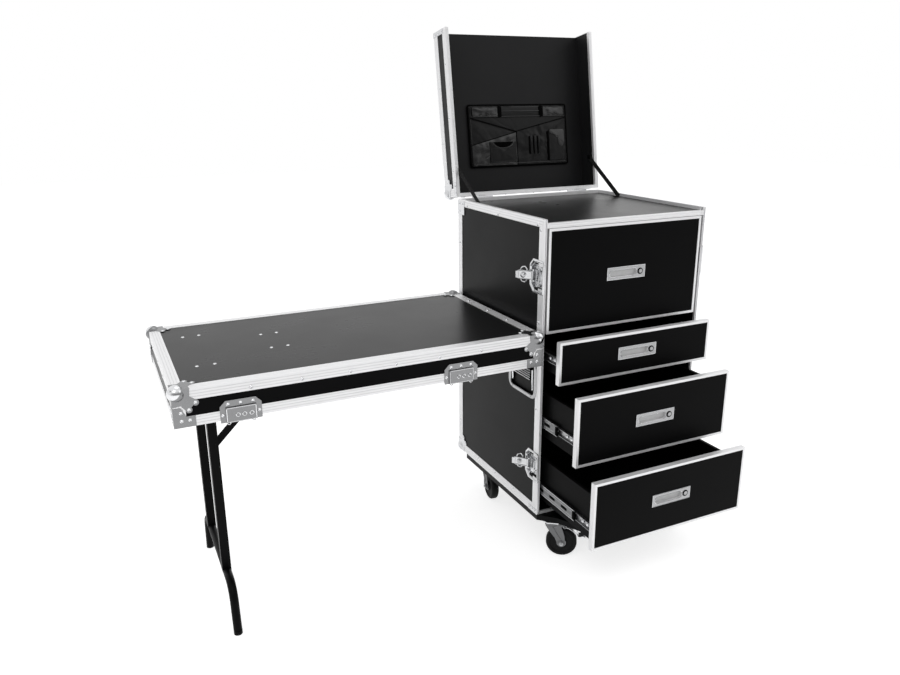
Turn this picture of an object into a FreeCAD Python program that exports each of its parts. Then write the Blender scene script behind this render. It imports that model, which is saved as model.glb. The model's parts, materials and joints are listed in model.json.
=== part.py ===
"""Wheeled drawer case with an open lid, four drawers and a front cover hung at its side as a table.

All sizes are in millimetres. The pieces are made in case coordinates: the corner of the case that is
lowest, leftmost and foremost is (0, 0, 0), +X is right, +Y is to the rear and +Z is up. The last step
moves everything so that the origin is the middle of the whole object's footprint on the floor.
"""

import FreeCAD
import Part

import math
import os

from FreeCAD import Vector

# Case
CASE_W = 600.0
CASE_D = 570.0
CASE_H = 952.0
BOARD_T = 9.0
PROFILE_LEG = 30.0
PROFILE_WALL = 1.5
RAIL_LEG = 24.0
RAIL_W = 12.0
WORKTOP_DROP = 11.0
FRONT_RAIL_H = 14.5
FRONT_RAIL_D = 14.0
LIP_GAP = 3.3
LIP_OUTER = 2.2
LIP_INNER = 2.5
LIP_DEPTH = 6.0
LIP_BASE = 2.0

# Lid
LID_H = 98.0
LID_OPEN_DEG = 99.12
LID_SEAT_GAP = 0.4
LID_RIM_LEG = 27.0
HINGE_BACK = 6.0
HINGE_R = 4.5
HINGE_PIN_R = 2.25
HINGE_NECK_T = 2.0
HINGE_LEAF_H = 30.0
HINGE_LEAF_T = 1.5
HINGE_L = 80.0
HINGE_INSET = 60.0
STRAP_W = 14.0
STRAP_T = 1.6
STRAP_LID_ALONG = 118.0
STRAP_CASE_Y = 430.0
STRAP_IN = 3.0
STRAP_LID_DEPTH = 30.0
ORGANISER_INSETS = (103.0, 78.0)
ORGANISER_ALONG = (107.0, 330.0)
ORGANISER_T = 13.0
ORGANISER_ROUND = 4.0

# Drawers, from the top one down
DRAWER_X_GAP = 15.0
FRONT_SILL = 20.0
LOWER_FRONT_HEIGHTS = (134.0, 216.0, 216.0)
FRONT_GAP = 7.0
FRONT_TOP_GAP = 16.0
DRAWER_RESTS = (0.0, 77.0, 181.0, 279.0)
RUNNER_UPS = (75.0, 71.0, 78.0, 69.0)
SLIDE_SHARES = (0.5, 0.15, 0.55, 0.74)
FRONT_T = 15.0
TRIM_WALL = 1.2
TRIM_FACE = 8.0
BOX_LENGTH = 480.0
BOX_WALL = 9.0
BOX_FLOOR_T = 6.0
BOX_UNDER_TOP = 46.0
BOX_OVER_BOTTOM = 24.0

# Ball slides
SLIDE_SPACE = 13.5
SLIDE_WALL = 1.2
SLIDE_H = 45.0
MID_H = 35.0
INNER_H = 24.0
SLIDE_LENGTH = 500.0
SLIDE_SETBACK = 20.0
SLIDE_PLAY = 1.5

# Drawer pulls
PULL_W = 144.0
PULL_H = 40.0
PULL_UP = 3.0
PULL_T = 1.3
POCKET_W = 104.0
POCKET_H = 22.0
POCKET_DEPTH = 10.0
POCKET_SHIFT = -11.0
BUTTON_R = 6.5
BUTTON_X = 54.0
BUTTON_GAP = 0.5
BUTTON_PROUD = 2.0
BUTTON_LENGTH = 11.0
BUTTON_ROUND = 1.0

# Front cover used as a table
TABLE_LIFT_Z = 618.0
TABLE_DEPTH = 99.0
TABLE_GAP = 12.0
TABLE_FRONT_Y = -23.0
HOOK_YS = (235.0, 475.0)
HOOK_W = 40.0
HOOK_T = 2.5
HOOK_PLATE_UP = 71.0
HOOK_LIP_H = 26.0
HOOK_CLEAR = 4.0
CATCH_W = 104.0
CATCH_H = 58.0
CATCH_T = 1.8
CATCH_BELOW = 6.0
CATCH_CHAMFER = 14.5
CATCH_BOX_W = 76.0
CATCH_BOX_H = 40.0
CATCH_BOX_T = 6.0
FIELD_T = 0.5

# Folding leg and its braces
LEG_FROM_END = 106.0
LEG_HINGE_DROP = 28.0
LEG_SQUARE = 25.0
LEG_INSETS = (173.0, 162.0)
FOOT_R = 12.0
FOOT_BEYOND = (117.0, 109.0)
FOOT_SPLAY = 22.0
FOOT_RISE = 138.0
FOOT_BEND = 55.0
BRACE_REACH = 220.0
BRACE_W = 20.0
BRACE_T = 4.0
BRACE_GAP = 0.5
LEG_PIN_R = 4.0
PIN_PLAY = 0.05
PIN_END = 1.0
LEG_EAR_T = 3.0
LEG_EAR_GAP = 1.0
BRACKET_L = 70.0
BRACKET_W = 50.0

# Castor board and castors
CASTER_BOARD_T = 18.0
CASTER_H = 130.0
BOARD_NOSE = 120.0
BOARD_REAR_IN = 65.0
BOARD_SHOULDER = 47.0
BOARD_NOSE_IN = 85.0
FRONT_CASTER_IN = (54.0, -12.0)
REAR_CASTER_IN = (57.0, 70.0)
CASTER_HEADINGS = (-34.4, -118.0, -98.0, -62.0)
WHEEL_R = 50.0
WHEEL_W = 30.0
CASTER_TRAIL = 30.0
CASTER_PLATE = 68.0
CASTER_PLATE_T = 4.0
KINGPIN_R = 5.0
KINGPIN_HEAD_R = 8.0
KINGPIN_HEAD_T = 3.0
AXLE_R = 5.0
NUT_R = 9.0
NUT_T = 4.0
HUB_R = 16.0
HUB_BEVEL = 4.0
WEB_R = 36.0
RIM_R = 39.0
TREAD_BEVEL = 6.0
TREAD_ROUND = 1.5
FORK_WALL = 3.0
FORK_GAP = 3.0
FORK_CHEEK = 13.0
FORK_FOOT = 8.0
FORK_RISE = 6.0
CROWN_R = 26.0
CROWN_H = 10.0
PEDAL_AHEAD = 10.0
PEDAL_UP = 7.0
PEDAL_GAP = 5.0
PEDAL_T = 3.0
PEDAL_PIN_R = 3.0
PEDAL_LUG_R = 5.5
PEDAL_ARC_DEG = (78.0, 26.0)
PEDAL_TREAD = 24.0
PEDAL_FLARE = 4.0

# Side latches, given from the front edge and from the floor of the case
LATCH_ZS = (162.0, 779.5)
LATCH_DISH_D = 76.0
LATCH_DISH_H = 103.0
LATCH_CHAMFER = 16.0
LATCH_BORDER = 9.0
LATCH_HINGE_Y = 58.0
LATCH_HINGE_OUT = 4.0
LATCH_LUG_W = 6.0
LATCH_LUG_T = 5.0
LATCH_LUG_GAP = 1.0
LATCH_ARM_L = 52.0
LATCH_ARM_W = 26.0
LATCH_ARM_T = 2.0
LATCH_REST_DEG = 140.0
LATCH_BOSS = 28.0
WING_R = 20.0
WING_OUT = 9.0
WING_T = 2.5
WING_PIN_R = 4.0
WING_HUB_R = 7.0
CAM_R = 7.0
CAM_L = 7.0

# Recessed spring handles
HANDLE_Y = (24.0, 191.0)
HANDLE_Z = (386.0, 514.0)
HANDLE_BORDER = 12.0
DISH_WALL = 1.2
DISH_DEPTH = 9.0
BAIL_PIVOT_UP = 28.0
BAIL_LEG_W = 6.0
BAIL_LEG_T = 5.0
BAIL_PIN_R = 2.0
BAIL_EYE_R = 3.5
BAIL_SIDE_GAP = 1.1
GRIP_H = 37.0
GRIP_UP = 57.0
GRIP_T = 12.0
GRIP_ROUND = 4.0
GRIP_BACK = 1.0

# Corner pieces
CORNER_PLATE = 52.0
CORNER_T = 1.2
FLAT_PLATE = 17.0
TALL_PLATE = 78.0
REAR_PLATE_LEG = 48.0
REAR_PLATE_DROP = 5.0
BALL_R = 22.0
BALL_OUT = 9.0
PLATE_ARM = 44.0
WAIST_NEAR = 20.0
WAIST_FAR = 42.0
LOBE_NEAR = 38.0
LOBE_FAR = 55.0
LOBE_R = 8.0
FOOT_PLATE_UP = 26.0
FOOT_PLATE_TAB = 19.0
FOOT_PLATE_SLANT = 12.0
SEAT_GAP = 0.3
CUT_PAST = 1.0

GROUND = -(CASTER_BOARD_T + CASTER_H)
PANEL_FACE = PROFILE_WALL
PANEL_BACK = PROFILE_WALL + BOARD_T
HINGE_Y = CASE_D + HINGE_BACK
WORKTOP_Z = CASE_H - WORKTOP_DROP
TABLE_X1 = -TABLE_GAP
TABLE_L = CASE_H + LID_H
TABLE_X0 = TABLE_X1 - TABLE_L
TABLE_REAR_Y = TABLE_FRONT_Y + CASE_W
TABLE_RIM_Z = TABLE_LIFT_Z - TABLE_DEPTH
TABLE_UNDER = TABLE_LIFT_Z - PANEL_BACK
BOARD_REAR = CASE_D - BOARD_REAR_IN
LEG_YS = (TABLE_FRONT_Y + LEG_INSETS[0], TABLE_REAR_Y - LEG_INSETS[1])
DRAWERS_BELOW = [LOWER_FRONT_HEIGHTS[row:] for row in range(len(LOWER_FRONT_HEIGHTS) + 1)]
DRAWER_BOTTOMS = [FRONT_SILL + sum(below) + FRONT_GAP * len(below) for below in DRAWERS_BELOW]
LOWER_TOPS = [low + height for low, height in zip(DRAWER_BOTTOMS[1:], LOWER_FRONT_HEIGHTS)]
DRAWER_TOPS = [WORKTOP_Z - FRONT_TOP_GAP] + LOWER_TOPS
FOOT_SPAN = (LEG_YS[0] - FOOT_BEYOND[0], LEG_YS[1] + FOOT_BEYOND[1])


def at(axis, a, b, along):
    """A point from its two coordinates across an axis, in X, Y, Z order, and its place along it."""
    if axis == "x":
        return Vector(along, a, b)
    if axis == "y":
        return Vector(a, along, b)
    return Vector(a, b, along)


def direction(axis):
    return at(axis, 0, 0, 1)


def block(x, y, z):
    """A box from its low and high values on each axis."""
    return Part.makeBox(x[1] - x[0], y[1] - y[0], z[1] - z[0], Vector(x[0], y[0], z[0]))


def rod(axis, radius, centre, span):
    """A round bar along an axis."""
    base = at(axis, centre[0], centre[1], span[0])
    return Part.makeCylinder(radius, span[1] - span[0], base, direction(axis))


def prism(axis, points, span):
    """A straight bar whose section is a polygon."""
    corners = [at(axis, a, b, span[0]) for a, b in points]
    face = Part.Face(Part.makePolygon(corners + corners[:1]))
    return face.extrude(direction(axis) * (span[1] - span[0]))


def angle_bar(axis, corner, signs, span, legs=(PROFILE_LEG, PROFILE_LEG), wall=PROFILE_WALL):
    """An L section with its outer corner at corner and its legs running inwards along signs."""
    a, b = corner
    sa, sb = signs
    la, lb = legs
    outline = [(0, 0), (la, 0), (la, wall), (wall, wall), (wall, lb), (0, lb)]
    return prism(axis, [(a + sa * u, b + sb * v) for u, v in outline], span)


def fused(shapes):
    whole = shapes[0]
    for shape in shapes[1:]:
        whole = whole.fuse(shape)
    return whole.removeSplitter()


def mirrored(shapes):
    """The same pieces on the right side of the case."""
    middle = Vector(CASE_W / 2, 0, 0)
    return [shape.mirror(middle, Vector(1, 0, 0)) for shape in shapes]


def both_sides(shapes):
    return list(shapes) + mirrored(shapes)


def mitred_ring(ring, axis, low, high, width, span):
    """Cut a rectangular ring of trim into its four mitred lengths."""
    a0, b0 = low
    a1, b1 = high
    w = width
    sides = [
        [(a0, b1), (a1, b1), (a1 - w, b1 - w), (a0 + w, b1 - w)],
        [(a0, b0), (a1, b0), (a1 - w, b0 + w), (a0 + w, b0 + w)],
        [(a0, b0), (a0 + w, b0 + w), (a0 + w, b1 - w), (a0, b1)],
        [(a1, b0), (a1 - w, b0 + w), (a1 - w, b1 - w), (a1, b1)],
    ]
    return [ring.common(prism(axis, side, span)) for side in sides]


# Dishes are cut through the side boards, so their outlines come first


def latch_outline(z):
    """The corners of a latch dish on the left side, as (y, z) pairs."""
    low = z - LATCH_DISH_H / 2
    high = z + LATCH_DISH_H / 2
    c = LATCH_CHAMFER
    return [(0, low), (LATCH_DISH_D - c, low), (LATCH_DISH_D, low + c), (LATCH_DISH_D, high - c),
            (LATCH_DISH_D - c, high), (0, high)]


def latch_pocket(z, grow=0.0):
    y = (LATCH_BORDER - grow, LATCH_DISH_D - LATCH_BORDER + grow)
    half = LATCH_DISH_H / 2 - LATCH_BORDER - LATCH_CHAMFER / 2 + grow
    return y, (z - half, z + half)


def handle_pocket(grow=0.0):
    y = (HANDLE_Y[0] + HANDLE_BORDER - grow, HANDLE_Y[1] - HANDLE_BORDER + grow)
    z = (HANDLE_Z[0] + HANDLE_BORDER - grow, HANDLE_Z[1] - HANDLE_BORDER + grow)
    return y, z


def dish_holes():
    """Everything on the left side that the dishes take out of the board and its edge profile."""
    pockets = [latch_pocket(z, DISH_WALL) for z in LATCH_ZS] + [handle_pocket(DISH_WALL)]
    return [block((-PROFILE_WALL, PANEL_BACK + PROFILE_WALL), y, z) for y, z in pockets]


def without(shape, cutters):
    for cutter in cutters:
        shape = shape.cut(cutter)
    return shape


# Case


def side_panels():
    front = LIP_DEPTH + LIP_BASE
    board = block((PANEL_FACE, PANEL_BACK), (front, CASE_D - PROFILE_WALL),
                  (PROFILE_WALL, CASE_H - PROFILE_WALL))
    return both_sides([without(board, dish_holes())])


def rear_panel():
    return [block((PANEL_BACK, CASE_W - PANEL_BACK), (CASE_D - PANEL_BACK, CASE_D - PANEL_FACE),
                  (PANEL_BACK, WORKTOP_Z - BOARD_T))]


def base_boards():
    front = LIP_DEPTH + LIP_BASE
    floor = block((PANEL_BACK, CASE_W - PANEL_BACK), (front, CASE_D - PANEL_FACE), (PROFILE_WALL, PANEL_BACK))
    left = [(0, BOARD_REAR), (0, 0), (BOARD_SHOULDER, -BOARD_SHOULDER), (BOARD_NOSE_IN, -BOARD_NOSE)]
    right = [(CASE_W - x, y) for x, y in reversed(left)]
    board = prism("z", left + right, (-CASTER_BOARD_T, 0))
    return [floor, board]


def worktop_panel():
    top = WORKTOP_Z - PROFILE_WALL
    side = PANEL_BACK + STRAP_IN + STRAP_T + SEAT_GAP
    return [block((PANEL_BACK, CASE_W - PANEL_BACK), (PROFILE_WALL, CASE_D - PANEL_BACK),
                  (top - BOARD_T, top)),
            block((side, CASE_W - side), (FRONT_RAIL_D, CASE_D - RAIL_W), (top, WORKTOP_Z))]


def lip_outline(leg):
    """The front edge section: a side leg, and two lips with a groove between them."""
    inner = LIP_OUTER + LIP_GAP
    back = LIP_DEPTH + LIP_BASE
    return [(0, 0), (LIP_OUTER, 0), (LIP_OUTER, LIP_DEPTH), (inner, LIP_DEPTH), (inner, 0),
            (inner + LIP_INNER, 0), (inner + LIP_INNER, back), (PROFILE_WALL, back), (PROFILE_WALL, leg),
            (0, leg)]


def front_frame():
    jamb = prism("z", lip_outline(PROFILE_LEG), (0, CASE_H))
    jamb = without(jamb, dish_holes())
    jamb_w = LIP_OUTER + LIP_GAP + LIP_INNER
    span = (jamb_w, CASE_W - jamb_w)
    sill = prism("x", [(b, a) for a, b in lip_outline(PROFILE_LEG)], span)
    z0 = WORKTOP_Z - FRONT_RAIL_H
    wall = PROFILE_WALL
    rail = prism("x", [(0, z0), (FRONT_RAIL_D, z0), (FRONT_RAIL_D, z0 + wall), (wall, z0 + wall),
                       (wall, WORKTOP_Z - wall), (FRONT_RAIL_D, WORKTOP_Z - wall),
                       (FRONT_RAIL_D, WORKTOP_Z), (0, WORKTOP_Z)], span)
    board_end = block((0, PANEL_BACK), (LIP_DEPTH + LIP_BASE, FRONT_RAIL_D + CUT_PAST),
                      (z0 - CUT_PAST, WORKTOP_Z + CUT_PAST))
    rail = without(rail, both_sides([board_end]))
    return both_sides([jamb]) + [sill, rail]


def edge_profiles():
    leg = PROFILE_LEG
    side_top = prism("y", [(0, CASE_H - RAIL_LEG), (0, CASE_H), (RAIL_W, CASE_H), (RAIL_W, WORKTOP_Z),
                           (PANEL_BACK, WORKTOP_Z), (PANEL_BACK, CASE_H - PROFILE_WALL),
                           (PROFILE_WALL, CASE_H - PROFILE_WALL), (PROFILE_WALL, CASE_H - RAIL_LEG)],
                     (leg, CASE_D - RAIL_W))
    short_top = prism("y", [(PROFILE_WALL, CASE_H - PROFILE_WALL), (PROFILE_WALL, CASE_H),
                            (RAIL_W, CASE_H), (RAIL_W, WORKTOP_Z), (PANEL_BACK, WORKTOP_Z),
                            (PANEL_BACK, CASE_H - PROFILE_WALL)],
                      (LIP_DEPTH + LIP_BASE, leg))
    side_top = side_top.fuse(short_top).removeSplitter()
    rear_top = block((0, CASE_W), (CASE_D - RAIL_W, CASE_D), (CASE_H - RAIL_LEG, CASE_H))
    under = CASE_H - RAIL_LEG - CUT_PAST
    inward = CASE_D - RAIL_W - CUT_PAST
    hollow_z = (under, CASE_H - PROFILE_WALL)
    rear_top = rear_top.cut(block((PROFILE_WALL, CASE_W - PROFILE_WALL),
                                  (CASE_D - PANEL_BACK, CASE_D - PROFILE_WALL), hollow_z))
    rear_top = rear_top.cut(block((PANEL_BACK, CASE_W - PANEL_BACK), (inward, CASE_D - PANEL_BACK),
                                  (under, WORKTOP_Z)))
    side_hollow = block((PROFILE_WALL, PANEL_BACK), (inward, CASE_D - PANEL_BACK), hollow_z)
    rear_top = without(rear_top, both_sides([side_hollow]))
    post = angle_bar("z", (0, CASE_D), (1, -1), (0, CASE_H - RAIL_LEG))
    low_side = angle_bar("y", (0, 0), (1, 1), (leg, CASE_D - leg))
    low_rear = angle_bar("x", (CASE_D, 0), (-1, 1), (leg, CASE_W - leg))
    return both_sides([side_top, post, low_side]) + [rear_top, low_rear]


def lobed_plate():
    """The outline of one face of a ball corner, with its two riveted lobes, as a face at the origin."""
    near, far = LOBE_NEAR, LOBE_FAR
    reach = far + LOBE_R * 0.7
    outline = [(-CORNER_T, -CORNER_T), (PLATE_ARM, -CORNER_T), (WAIST_FAR, WAIST_NEAR),
               (reach, near - LOBE_R / 2), (far, near), (near, far), (near - LOBE_R / 2, reach),
               (WAIST_NEAR, WAIST_FAR),
               (-CORNER_T, PLATE_ARM)]
    plate = prism("z", outline, (-CORNER_T, 0))
    lobes = [rod("z", LOBE_R, centre, (-CORNER_T, 0)) for centre in ((near, far), (far, near))]
    return fused([plate] + lobes)


def set_in_corner(shape, corner, signs):
    """Move a shape from the origin's corner to one of an upright box, mirrored to its three directions."""
    for axis, sign in zip((Vector(1, 0, 0), Vector(0, 1, 0), Vector(0, 0, 1)), signs):
        if sign < 0:
            shape = shape.mirror(Vector(0, 0, 0), axis)
    shape.translate(Vector(*corner))
    return shape


def corner_cap(corner, signs):
    """A pressed corner: a ball over the corner and a lobed plate on each of the three faces."""
    flat = lobed_plate()
    plates = [flat]
    for turn in (120, 240):
        plate = flat.copy()
        plate.rotate(Vector(0, 0, 0), Vector(1, 1, 1), turn)
        plates.append(plate)
    inset = BALL_R - BALL_OUT
    ball = Part.makeSphere(BALL_R, Vector(inset, inset, inset))
    core = block((0, 2 * BALL_R), (0, 2 * BALL_R), (0, 2 * BALL_R))
    return set_in_corner(fused(plates + [ball.cut(core)]), corner, signs)


def foot_plate(corner, signs):
    """The plate round a lower corner, with a tab up each side."""
    p = CORNER_PLATE
    t = CORNER_T
    outline = [(-t, 0), (p, 0), (p, FOOT_PLATE_UP), (FOOT_PLATE_TAB + FOOT_PLATE_SLANT, FOOT_PLATE_UP),
               (FOOT_PLATE_TAB, p), (-t, p)]
    front = prism("y", outline, (-t, 0))
    side = prism("x", outline, (-t, 0))
    return set_in_corner(fused([front, side]), corner, signs)


def latch_dish(z):
    y_in, z_in = latch_pocket(z)
    y_out, z_out = latch_pocket(z, DISH_WALL)
    plate = prism("x", latch_outline(z), (-DISH_WALL, 0))
    cup = block((0, DISH_DEPTH), y_out, z_out)
    hole = block((-2 * DISH_WALL, DISH_DEPTH - DISH_WALL), y_in, z_in)
    half = LATCH_ARM_W / 2
    near = half + LATCH_LUG_GAP
    far = near + LATCH_LUG_T
    lug_y = (LATCH_HINGE_Y - LATCH_LUG_W / 2, LATCH_HINGE_Y + LATCH_LUG_W / 2)
    lugs = [block((-LATCH_HINGE_OUT - LATCH_ARM_T, -DISH_WALL), lug_y, span)
            for span in ((z - far, z - near), (z + near, z + far))]
    lugs.append(block((-DISH_WALL, 0), lug_y, (z_in[0] - CUT_PAST, z_in[1] + CUT_PAST)))
    pin = rod("z", LATCH_ARM_T / 2, (-LATCH_HINGE_OUT, LATCH_HINGE_Y), (z - far, z + far))
    return fused([plate.fuse(cup).cut(hole)] + lugs + [pin])


def handle_dish():
    y_in, z_in = handle_pocket()
    y_out, z_out = handle_pocket(DISH_WALL)
    c = HANDLE_BORDER
    y0, y1 = HANDLE_Y
    z0, z1 = HANDLE_Z
    outline = [(y0 + c, z0), (y1 - c, z0), (y1, z0 + c), (y1, z1 - c), (y1 - c, z1), (y0 + c, z1),
               (y0, z1 - c), (y0, z0 + c)]
    plate = prism("x", outline, (-DISH_WALL, 0))
    cup = block((0, DISH_DEPTH), y_out, z_out)
    hole = block((-2 * DISH_WALL, DISH_DEPTH - DISH_WALL), y_in, z_in)
    reach = BAIL_SIDE_GAP + BAIL_LEG_W + PIN_END
    centre = (bail_pivot_x(), HANDLE_Z[0] + BAIL_PIVOT_UP)
    pins = [rod("y", BAIL_PIN_R, centre, (y_in[0], y_in[0] + reach)),
            rod("y", BAIL_PIN_R, centre, (y_in[1] - reach, y_in[1]))]
    return fused([plate.fuse(cup).cut(hole)] + pins)


def side_dishes():
    return both_sides([latch_dish(z) for z in LATCH_ZS] + [handle_dish()])


def hinge_spans():
    return [(HINGE_INSET, HINGE_INSET + HINGE_L), (CASE_W - HINGE_INSET - HINGE_L, CASE_W - HINGE_INSET)]


def hinge_leaves():
    """The lower leaves of the two lid hinges, with the outer knuckles and the pin."""
    leaves = []
    for x0, x1 in hinge_spans():
        third = (x1 - x0) / 3
        leaf = block((x0, x1), (CASE_D, CASE_D + HINGE_LEAF_T), (CASE_H - HINGE_LEAF_H, CASE_H - HINGE_R))
        pieces = [leaf]
        for k0, k1 in ((x0, x0 + third), (x1 - third, x1)):
            pieces.append(rod("x", HINGE_R, (HINGE_Y, CASE_H), (k0, k1)))
            neck_z = CASE_H - HINGE_R
            pieces.append(block((k0, k1), (CASE_D, HINGE_Y), (neck_z, neck_z + HINGE_NECK_T)))
        pieces.append(rod("x", HINGE_PIN_R, (HINGE_Y, CASE_H), (x0, x1)))
        leaves.append(fused(pieces))
    return leaves


def table_hooks():
    """The two hooks on the left side that carry the end of the table."""
    x_plate = (PANEL_FACE - HOOK_T, PANEL_FACE)
    lip = TABLE_X1 - RAIL_W - HOOK_CLEAR
    shelf_z = TABLE_RIM_Z - SEAT_GAP
    hooks = []
    for y in HOOK_YS:
        span = (y - HOOK_W / 2, y + HOOK_W / 2)
        hooks.append(fused([
            block(x_plate, span, (shelf_z - HOOK_T, TABLE_RIM_Z + HOOK_PLATE_UP)),
            block((lip - HOOK_T, PANEL_FACE), span, (shelf_z - HOOK_T, shelf_z)),
            block((lip - HOOK_T, lip), span, (shelf_z - HOOK_T, shelf_z + HOOK_LIP_H)),
        ]))
    return hooks


def caster_places():
    """Name, swivel centre and heading, the direction in which the wheel trails, of each castor."""
    front_x, front_y = FRONT_CASTER_IN
    rear_x = REAR_CASTER_IN[0]
    rear_y = BOARD_REAR - REAR_CASTER_IN[1]
    places = [("front_left", (front_x, front_y)), ("front_right", (CASE_W - front_x, front_y)),
              ("rear_left", (rear_x, rear_y)), ("rear_right", (CASE_W - rear_x, rear_y))]
    return [(name, place, heading) for (name, place), heading in zip(places, CASTER_HEADINGS)]


def at_caster(shape, place, heading):
    shape = shape.copy()
    shape.rotate(Vector(0, 0, 0), Vector(0, 0, 1), heading)
    shape.translate(Vector(place[0], place[1], 0))
    return shape


def caster_plate():
    """The fixed top plate with its kingpin, around the swivel axis."""
    half = CASTER_PLATE / 2
    c = half / 2
    outline = [(half - c, -half), (half, c - half), (half, half - c), (half - c, half), (c - half, half),
               (-half, half - c), (-half, c - half), (c - half, -half)]
    top = -CASTER_BOARD_T
    plate = prism("z", outline, (top - CASTER_PLATE_T, top))
    head_z = crown_z()[0] - PIN_END
    pin = rod("z", KINGPIN_R, (0, 0), (head_z - KINGPIN_HEAD_T, top - CASTER_PLATE_T))
    head = rod("z", KINGPIN_HEAD_R, (0, 0), (head_z - KINGPIN_HEAD_T, head_z))
    return fused([plate, pin, head])


def case_fittings():
    caps = [corner_cap((0, CASE_D, 0), (1, -1, 1))]
    front_plate = block((-CORNER_T, 0), (0, CORNER_PLATE), (0, FLAT_PLATE))
    rear_z = (CASE_H - CORNER_PLATE, CASE_H - REAR_PLATE_DROP)
    rear_plate = block((-CORNER_T, 0), (CASE_D - REAR_PLATE_LEG, CASE_D + CORNER_T), rear_z)
    rear_wrap = block((-CORNER_T, PROFILE_LEG), (CASE_D, CASE_D + CORNER_T), rear_z)
    bracket = fused([rear_plate, rear_wrap])
    plates = [at_caster(caster_plate(), place, heading) for _, place, heading in caster_places()]
    return both_sides(caps + [front_plate, bracket]) + hinge_leaves() + table_hooks() + plates


def channel(web_x, flange_x, z, height):
    """A slide member: a C section with its web at web_x and its flanges reaching to flange_x."""
    t = SLIDE_WALL
    sign = 1 if flange_x > web_x else -1
    low = z - height / 2
    high = z + height / 2
    inner = web_x + sign * t
    return [(web_x, low), (flange_x, low), (flange_x, low + t), (inner, low + t), (inner, high - t),
            (flange_x, high - t), (flange_x, high), (web_x, high)]


def runner_z(number):
    return DRAWER_BOTTOMS[number] + RUNNER_UPS[number]


def outer_slides():
    slides = []
    for number in range(len(DRAWER_BOTTOMS)):
        outline = channel(PANEL_BACK, PANEL_BACK + SLIDE_SPACE - SLIDE_PLAY, runner_z(number), SLIDE_H)
        slides.append(prism("y", outline, (SLIDE_SETBACK, SLIDE_SETBACK + SLIDE_LENGTH)))
    return both_sides(slides)


def slide_middles(number):
    """The floating members of one drawer's two slides."""
    forward = DRAWER_RESTS[number] * SLIDE_SHARES[number]
    front = SLIDE_SETBACK - forward
    step = SLIDE_WALL + SLIDE_PLAY
    outline = channel(PANEL_BACK + step, PANEL_BACK + SLIDE_SPACE - step, runner_z(number), MID_H)
    return both_sides([prism("y", outline, (front, front + SLIDE_LENGTH))])


# Drawers


def drawer_frame(number):
    """The front face's place, its x span and its z span."""
    face = -DRAWER_RESTS[number]
    return face, (DRAWER_X_GAP, CASE_W - DRAWER_X_GAP), (DRAWER_BOTTOMS[number], DRAWER_TOPS[number])


def pull_centre(number):
    _, x, z = drawer_frame(number)
    return (x[0] + x[1]) / 2, (z[0] + z[1]) / 2 + PULL_UP


def pocket_shape(number, grow, y_span):
    """The long pocket of a pull, with round ends, and its button's round seat."""
    cx, cz = pull_centre(number)
    half_w = POCKET_W / 2 + grow
    half_h = POCKET_H / 2 + grow
    mid = cx + POCKET_SHIFT
    slot = block((mid - half_w + half_h, mid + half_w - half_h), y_span, (cz - half_h, cz + half_h))
    ends = [rod("y", half_h, (mid + side * (half_w - half_h), cz), y_span) for side in (-1, 1)]
    return fused([slot] + ends)


def button_hole(number, grow, y_span):
    cx, cz = pull_centre(number)
    return rod("y", BUTTON_R + grow, (cx + BUTTON_X, cz), y_span)


def drawer_box(number):
    """The front board, the four walls and the floor of one drawer."""
    face, x, z = drawer_frame(number)
    board_y = (face + TRIM_WALL, face + TRIM_WALL + FRONT_T)
    front = block((x[0] + TRIM_WALL, x[1] - TRIM_WALL), board_y, (z[0] + TRIM_WALL, z[1] - TRIM_WALL))
    y_all = (board_y[0] - CUT_PAST, board_y[1] + CUT_PAST)
    front = front.cut(pocket_shape(number, PULL_T, (y_all[0], board_y[0] + POCKET_DEPTH + PULL_T)))
    front = front.cut(button_hole(number, BUTTON_GAP + PULL_T, y_all))
    y0 = board_y[1] + TRIM_WALL
    y1 = y0 + BOX_LENGTH
    side_x = PANEL_BACK + SLIDE_SPACE
    low = z[0] + BOX_OVER_BOTTOM
    high = z[1] - BOX_UNDER_TOP
    wall = BOX_WALL
    side = block((side_x, side_x + wall), (board_y[1], y1), (low, high))
    inner_x = (side_x + wall, CASE_W - side_x - wall)
    front_wall = block(inner_x, (board_y[1], board_y[1] + wall), (low, high))
    back_wall = block(inner_x, (y1 - wall, y1), (low, high))
    floor = block(inner_x, (board_y[1] + wall, y1 - wall), (low, low + BOX_FLOOR_T))
    return [front] + both_sides([side]) + [front_wall, back_wall, floor]


def drawer_trim(number):
    """The metal channel around the front board, in four mitred lengths."""
    face, x, z = drawer_frame(number)
    t = TRIM_WALL
    y1 = face + FRONT_T + 2 * t
    ring = block(x, (face, y1), z)
    ring = ring.cut(block((x[0] + t, x[1] - t), (face + t, y1 - t), (z[0] + t, z[1] - t)))
    f = TRIM_FACE
    ring = ring.cut(block((x[0] + f, x[1] - f), (face - CUT_PAST, y1 + CUT_PAST), (z[0] + f, z[1] - f)))
    return mitred_ring(ring, "y", (x[0], z[0]), (x[1], z[1]), 2 * f, (face - CUT_PAST, y1 + CUT_PAST))


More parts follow.
